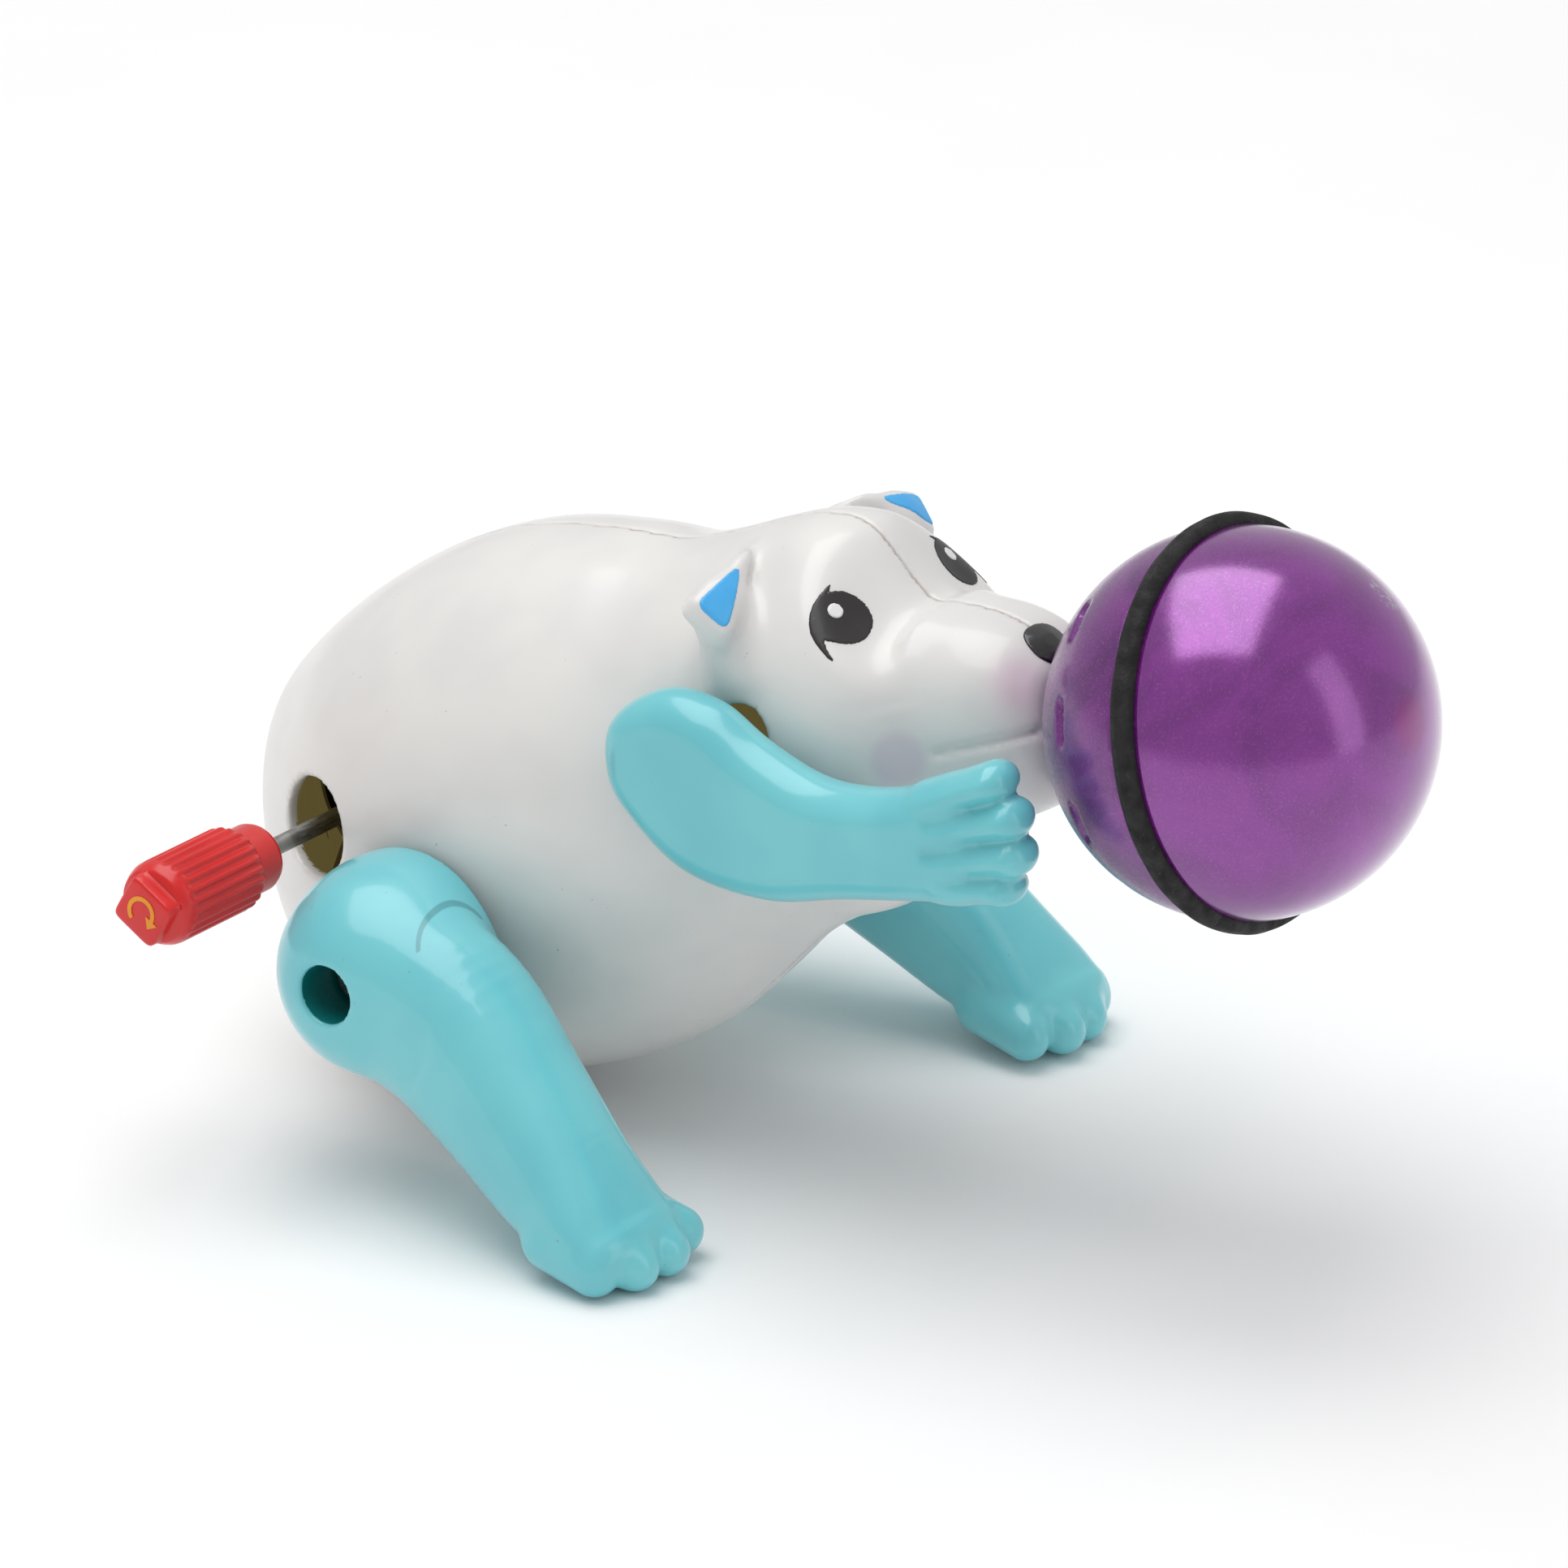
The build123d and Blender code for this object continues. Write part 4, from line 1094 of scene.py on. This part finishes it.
def build_ring():
    """Round rubber ring, slightly uneven as moulded."""
    random = np.random.default_rng(7)
    ring_turns = 220
    ring_sides = 18
    turn = 2 * pi * np.arange(ring_turns) / ring_turns
    side = 2 * pi * np.arange(ring_sides) / ring_sides
    swell = blurred(random.normal(0, 1, (ring_turns * 2, ring_sides)), 4)[:ring_turns]
    swell *= 0.035 / swell.std()
    tube_r = RING_R - 0.07 + np.clip(swell, -0.06, 0.06)
    radial = RING_CENTRE_R + tube_r * np.cos(side)
    lengthwise = tube_r * np.sin(side)
    points = (
        BALL + lengthwise[..., None] * AHEAD
        + (radial * np.cos(turn)[:, None])[..., None] * LEFT
        + (radial * np.sin(turn)[:, None])[..., None] * UP).reshape(-1, 3)
    faces = [
        (i * ring_sides + j, i * ring_sides + (j + 1) % ring_sides,
         (i + 1) % ring_turns * ring_sides + (j + 1) % ring_sides,
         (i + 1) % ring_turns * ring_sides + j)
        for i in range(ring_turns) for j in range(ring_sides)]
    add_piece("rubber_ring", points, faces, "ball", (RUBBER,), ("ball_ring",))


build_ring()

# ---- winding key --------------------------------------------------------------------------------
KEY_ORIGIN = np.array(JOINT["key_turn"]["pos_m"]) / MM
OUTWARD = -LEFT
COLLAR = (21.35, 2.5)
BARREL = (24.3, 33.2)
RIBS = 24
RIB_DEPTH = 0.2
PLAQUE_TOP = 34.42
MARK_TOP = 34.49
FACETS = 240
PLAQUE_TURN = radians(45)

# Each station of the knob: distance out along the key's line, radius, share of the ribs' depth
KNOB_COLLAR = [(COLLAR[0], 0.0, 0), (COLLAR[0], 0.66, 0), (COLLAR[0] + 0.03, 1.9, 0),
               (COLLAR[0] + 0.3, 2.35, 0), (COLLAR[0] + 0.7, COLLAR[1], 0),
               (BARREL[0] - 0.25, COLLAR[1], 0), (BARREL[0] - 0.05, COLLAR[1] + 0.06, 0)]
KNOB_BARREL = [(BARREL[0] + a, r, share) for a, r, share in (
    (0, 2.7, 0), (0.05, 2.9, 0.4), (0.25, 3.05, 0.9), (0.5, 3.1, 1.0), (3.0, 3.1, 1.0),
    (5.5, 3.1, 1.0), (7.4, 3.1, 1.0), (7.7, 3.1, 0.6), (7.95, 3.07, 0), (8.3, 2.95, 0),
    (8.7, 2.75, 0), (8.9, 2.6, 0))]
KNOB_PLAQUE = [(BARREL[1] + a, r, 0) for a, r in (
    (0.02, 2.05), (0.1, 1.98), (0.5, 1.95), (1.0, 1.93), (1.13, 1.88), (1.2, 1.78),
    (1.22, 1.6), (1.22, 0.0))]
KNOB = KNOB_COLLAR + KNOB_BARREL + KNOB_PLAQUE


def knob_ring(station, radius, turn):
    """Radius round one station: ribbed on the barrel, a rounded square on the plaque."""
    if station >= len(KNOB) - len(KNOB_PLAQUE):
        c = np.abs(np.cos(turn - PLAQUE_TURN))
        s = np.abs(np.sin(turn - PLAQUE_TURN))
        return radius / (c ** 8 + s ** 8) ** (1 / 8)
    wave = np.clip(1.6 * np.cos(RIBS * turn), -1, 1)
    return radius - RIB_DEPTH * (1 - wave) / 2 * KNOB[station][2]


def build_knob():
    points, faces = lathe([row[:2] for row in KNOB], FACETS, KEY_ORIGIN, OUTWARD, AHEAD, knob_ring)
    add_piece("winding_knob", points, faces, "key", (RED,), ("key_knob",))


build_knob()

# A generic curved arrow printed on the knob's face: an arc with a head
MARK_R = 1.02
MARK_WIDTH = 0.17
MARK_FROM = radians(200)
MARK_TO = radians(-45)
MARK_HEAD = 0.52


def mark_plan(a, b):
    """Outline of the arrow in the plane of the knob's face."""
    angle = np.arctan2(b, a)
    ring = np.abs(np.hypot(a, b) - MARK_R) - MARK_WIDTH
    middle = (MARK_FROM + MARK_TO) / 2
    half = (MARK_FROM - MARK_TO) / 2
    away = np.abs((angle - middle + pi) % (2 * pi) - pi) - half
    arc_part = np.maximum(ring, away * MARK_R)
    tip = np.array((MARK_R * cos(MARK_TO), MARK_R * sin(MARK_TO)))
    go = np.array((sin(MARK_TO), -cos(MARK_TO)))
    ahead = (a - tip[0]) * go[0] + (b - tip[1]) * go[1]
    aside = np.abs((a - tip[0]) * go[1] - (b - tip[1]) * go[0])
    head = np.maximum(-ahead - 0.05, (ahead + 1.3 * aside - MARK_HEAD * 1.35) / 1.64)
    return np.minimum(arc_part, head)


def mark(a, b, height):
    return smooth_common(
        mark_plan(a, b), np.abs(height - (PLAQUE_TOP + MARK_TOP) / 2) - 0.04, 0.02)


def build_mark():
    points, faces = surface(mark, (-2, -2, 34.3), (2, 2, 34.6), 0.045)
    points = KEY_ORIGIN + points @ np.array([AHEAD, UP, OUTWARD])
    add_piece("key_mark", points, faces[:, ::-1], "key", (MARK_INK,))


build_mark()

# ---- finishes of the CAD nodes that stay --------------------------------------------------------
CAD_FINISH = {"steel": STEEL, "screw_steel": SCREW, "motor_plastic": MOTOR}
for part in frame["record"]["subparts"]:
    finish = CAD_FINISH.get(part["material_slot"])
    node = frame["nodes"][part["node"]]
    if finish is None:
        continue
    for slot in node.material_slots:
        slot.material = finish

# ---- floor, light and camera --------------------------------------------------------------------


def floor_material():
    finish = Finish("floor_paper", Roughness=0.9)
    tone = finish.ramp(finish.noise(40.0, 4.0), 0.3, 0.7)
    finish.colour(finish.mix(tone, srgb(252, 252, 252), srgb(250, 250, 250)))
    finish.bump(finish.noise(0.8, 3.0), 0.02, 0.2)
    return finish.material


def add_floor(reach=2.5, cells=8):
    line = np.linspace(-reach, reach, cells + 1) / MM
    points = [(x, y, 0.0) for x in line for y in line]
    faces = [
        (i * (cells + 1) + j, (i + 1) * (cells + 1) + j, (i + 1) * (cells + 1) + j + 1,
         i * (cells + 1) + j + 1) for i in range(cells) for j in range(cells)]
    mesh = bpy.data.meshes.new("floor")
    mesh.from_pydata([tuple(c * MM for c in p) for p in points], [], faces)
    mesh.materials.append(floor_material())
    floor = bpy.data.objects.new("floor", mesh)
    bpy.context.scene.collection.objects.link(floor)


add_floor()

world = bpy.data.worlds.new("studio")
world.use_nodes = True
world.node_tree.nodes["Background"].inputs["Color"].default_value = (1.0, 1.0, 1.0, 1.0)
world.node_tree.nodes["Background"].inputs["Strength"].default_value = 0.52
bpy.context.scene.world = world


def softbox(name, place, aim, size, watts):
    light = bpy.data.lights.new(name, "AREA")
    light.shape = "RECTANGLE"
    light.size, light.size_y = size
    light.energy = watts
    lamp = bpy.data.objects.new(name, light)
    lamp.location = place
    lamp.rotation_euler = (Vector(aim) - Vector(place)).to_track_quat("-Z", "Y").to_euler()
    bpy.context.scene.collection.objects.link(lamp)


softbox("overhead", (-0.10, -0.05, 0.80), (0.02, 0, 0.02), (0.9, 0.65), 4.6)
softbox("side", (0.75, 0.10, 0.30), (0.05, 0, 0.04), (0.25, 0.70), 0.5)

CAMERA_TARGET = np.array((27.70, 0.0, 26.99))
CAMERA_AZIMUTH = radians(36.08)    # round from straight to the bear's right, towards its front
CAMERA_ELEVATION = radians(21.91)
CAMERA_DISTANCE = 800.0
CAMERA_LENS = 263.1
back = np.array((
    sin(CAMERA_AZIMUTH) * cos(CAMERA_ELEVATION), -cos(CAMERA_AZIMUTH) * cos(CAMERA_ELEVATION),
    sin(CAMERA_ELEVATION)))
lens = bpy.data.cameras.new("camera")
lens.lens = CAMERA_LENS
lens.sensor_width = 36.0
lens.clip_start = 0.05
lens.clip_end = 20.0
camera = bpy.data.objects.new("camera", lens)
camera.location = (CAMERA_TARGET + CAMERA_DISTANCE * back) * MM
camera.rotation_euler = Vector(back).to_track_quat("Z", "Y").to_euler()
bpy.context.scene.collection.objects.link(camera)
bpy.context.scene.camera = camera
bpy.context.scene.view_settings.view_transform = "Standard"
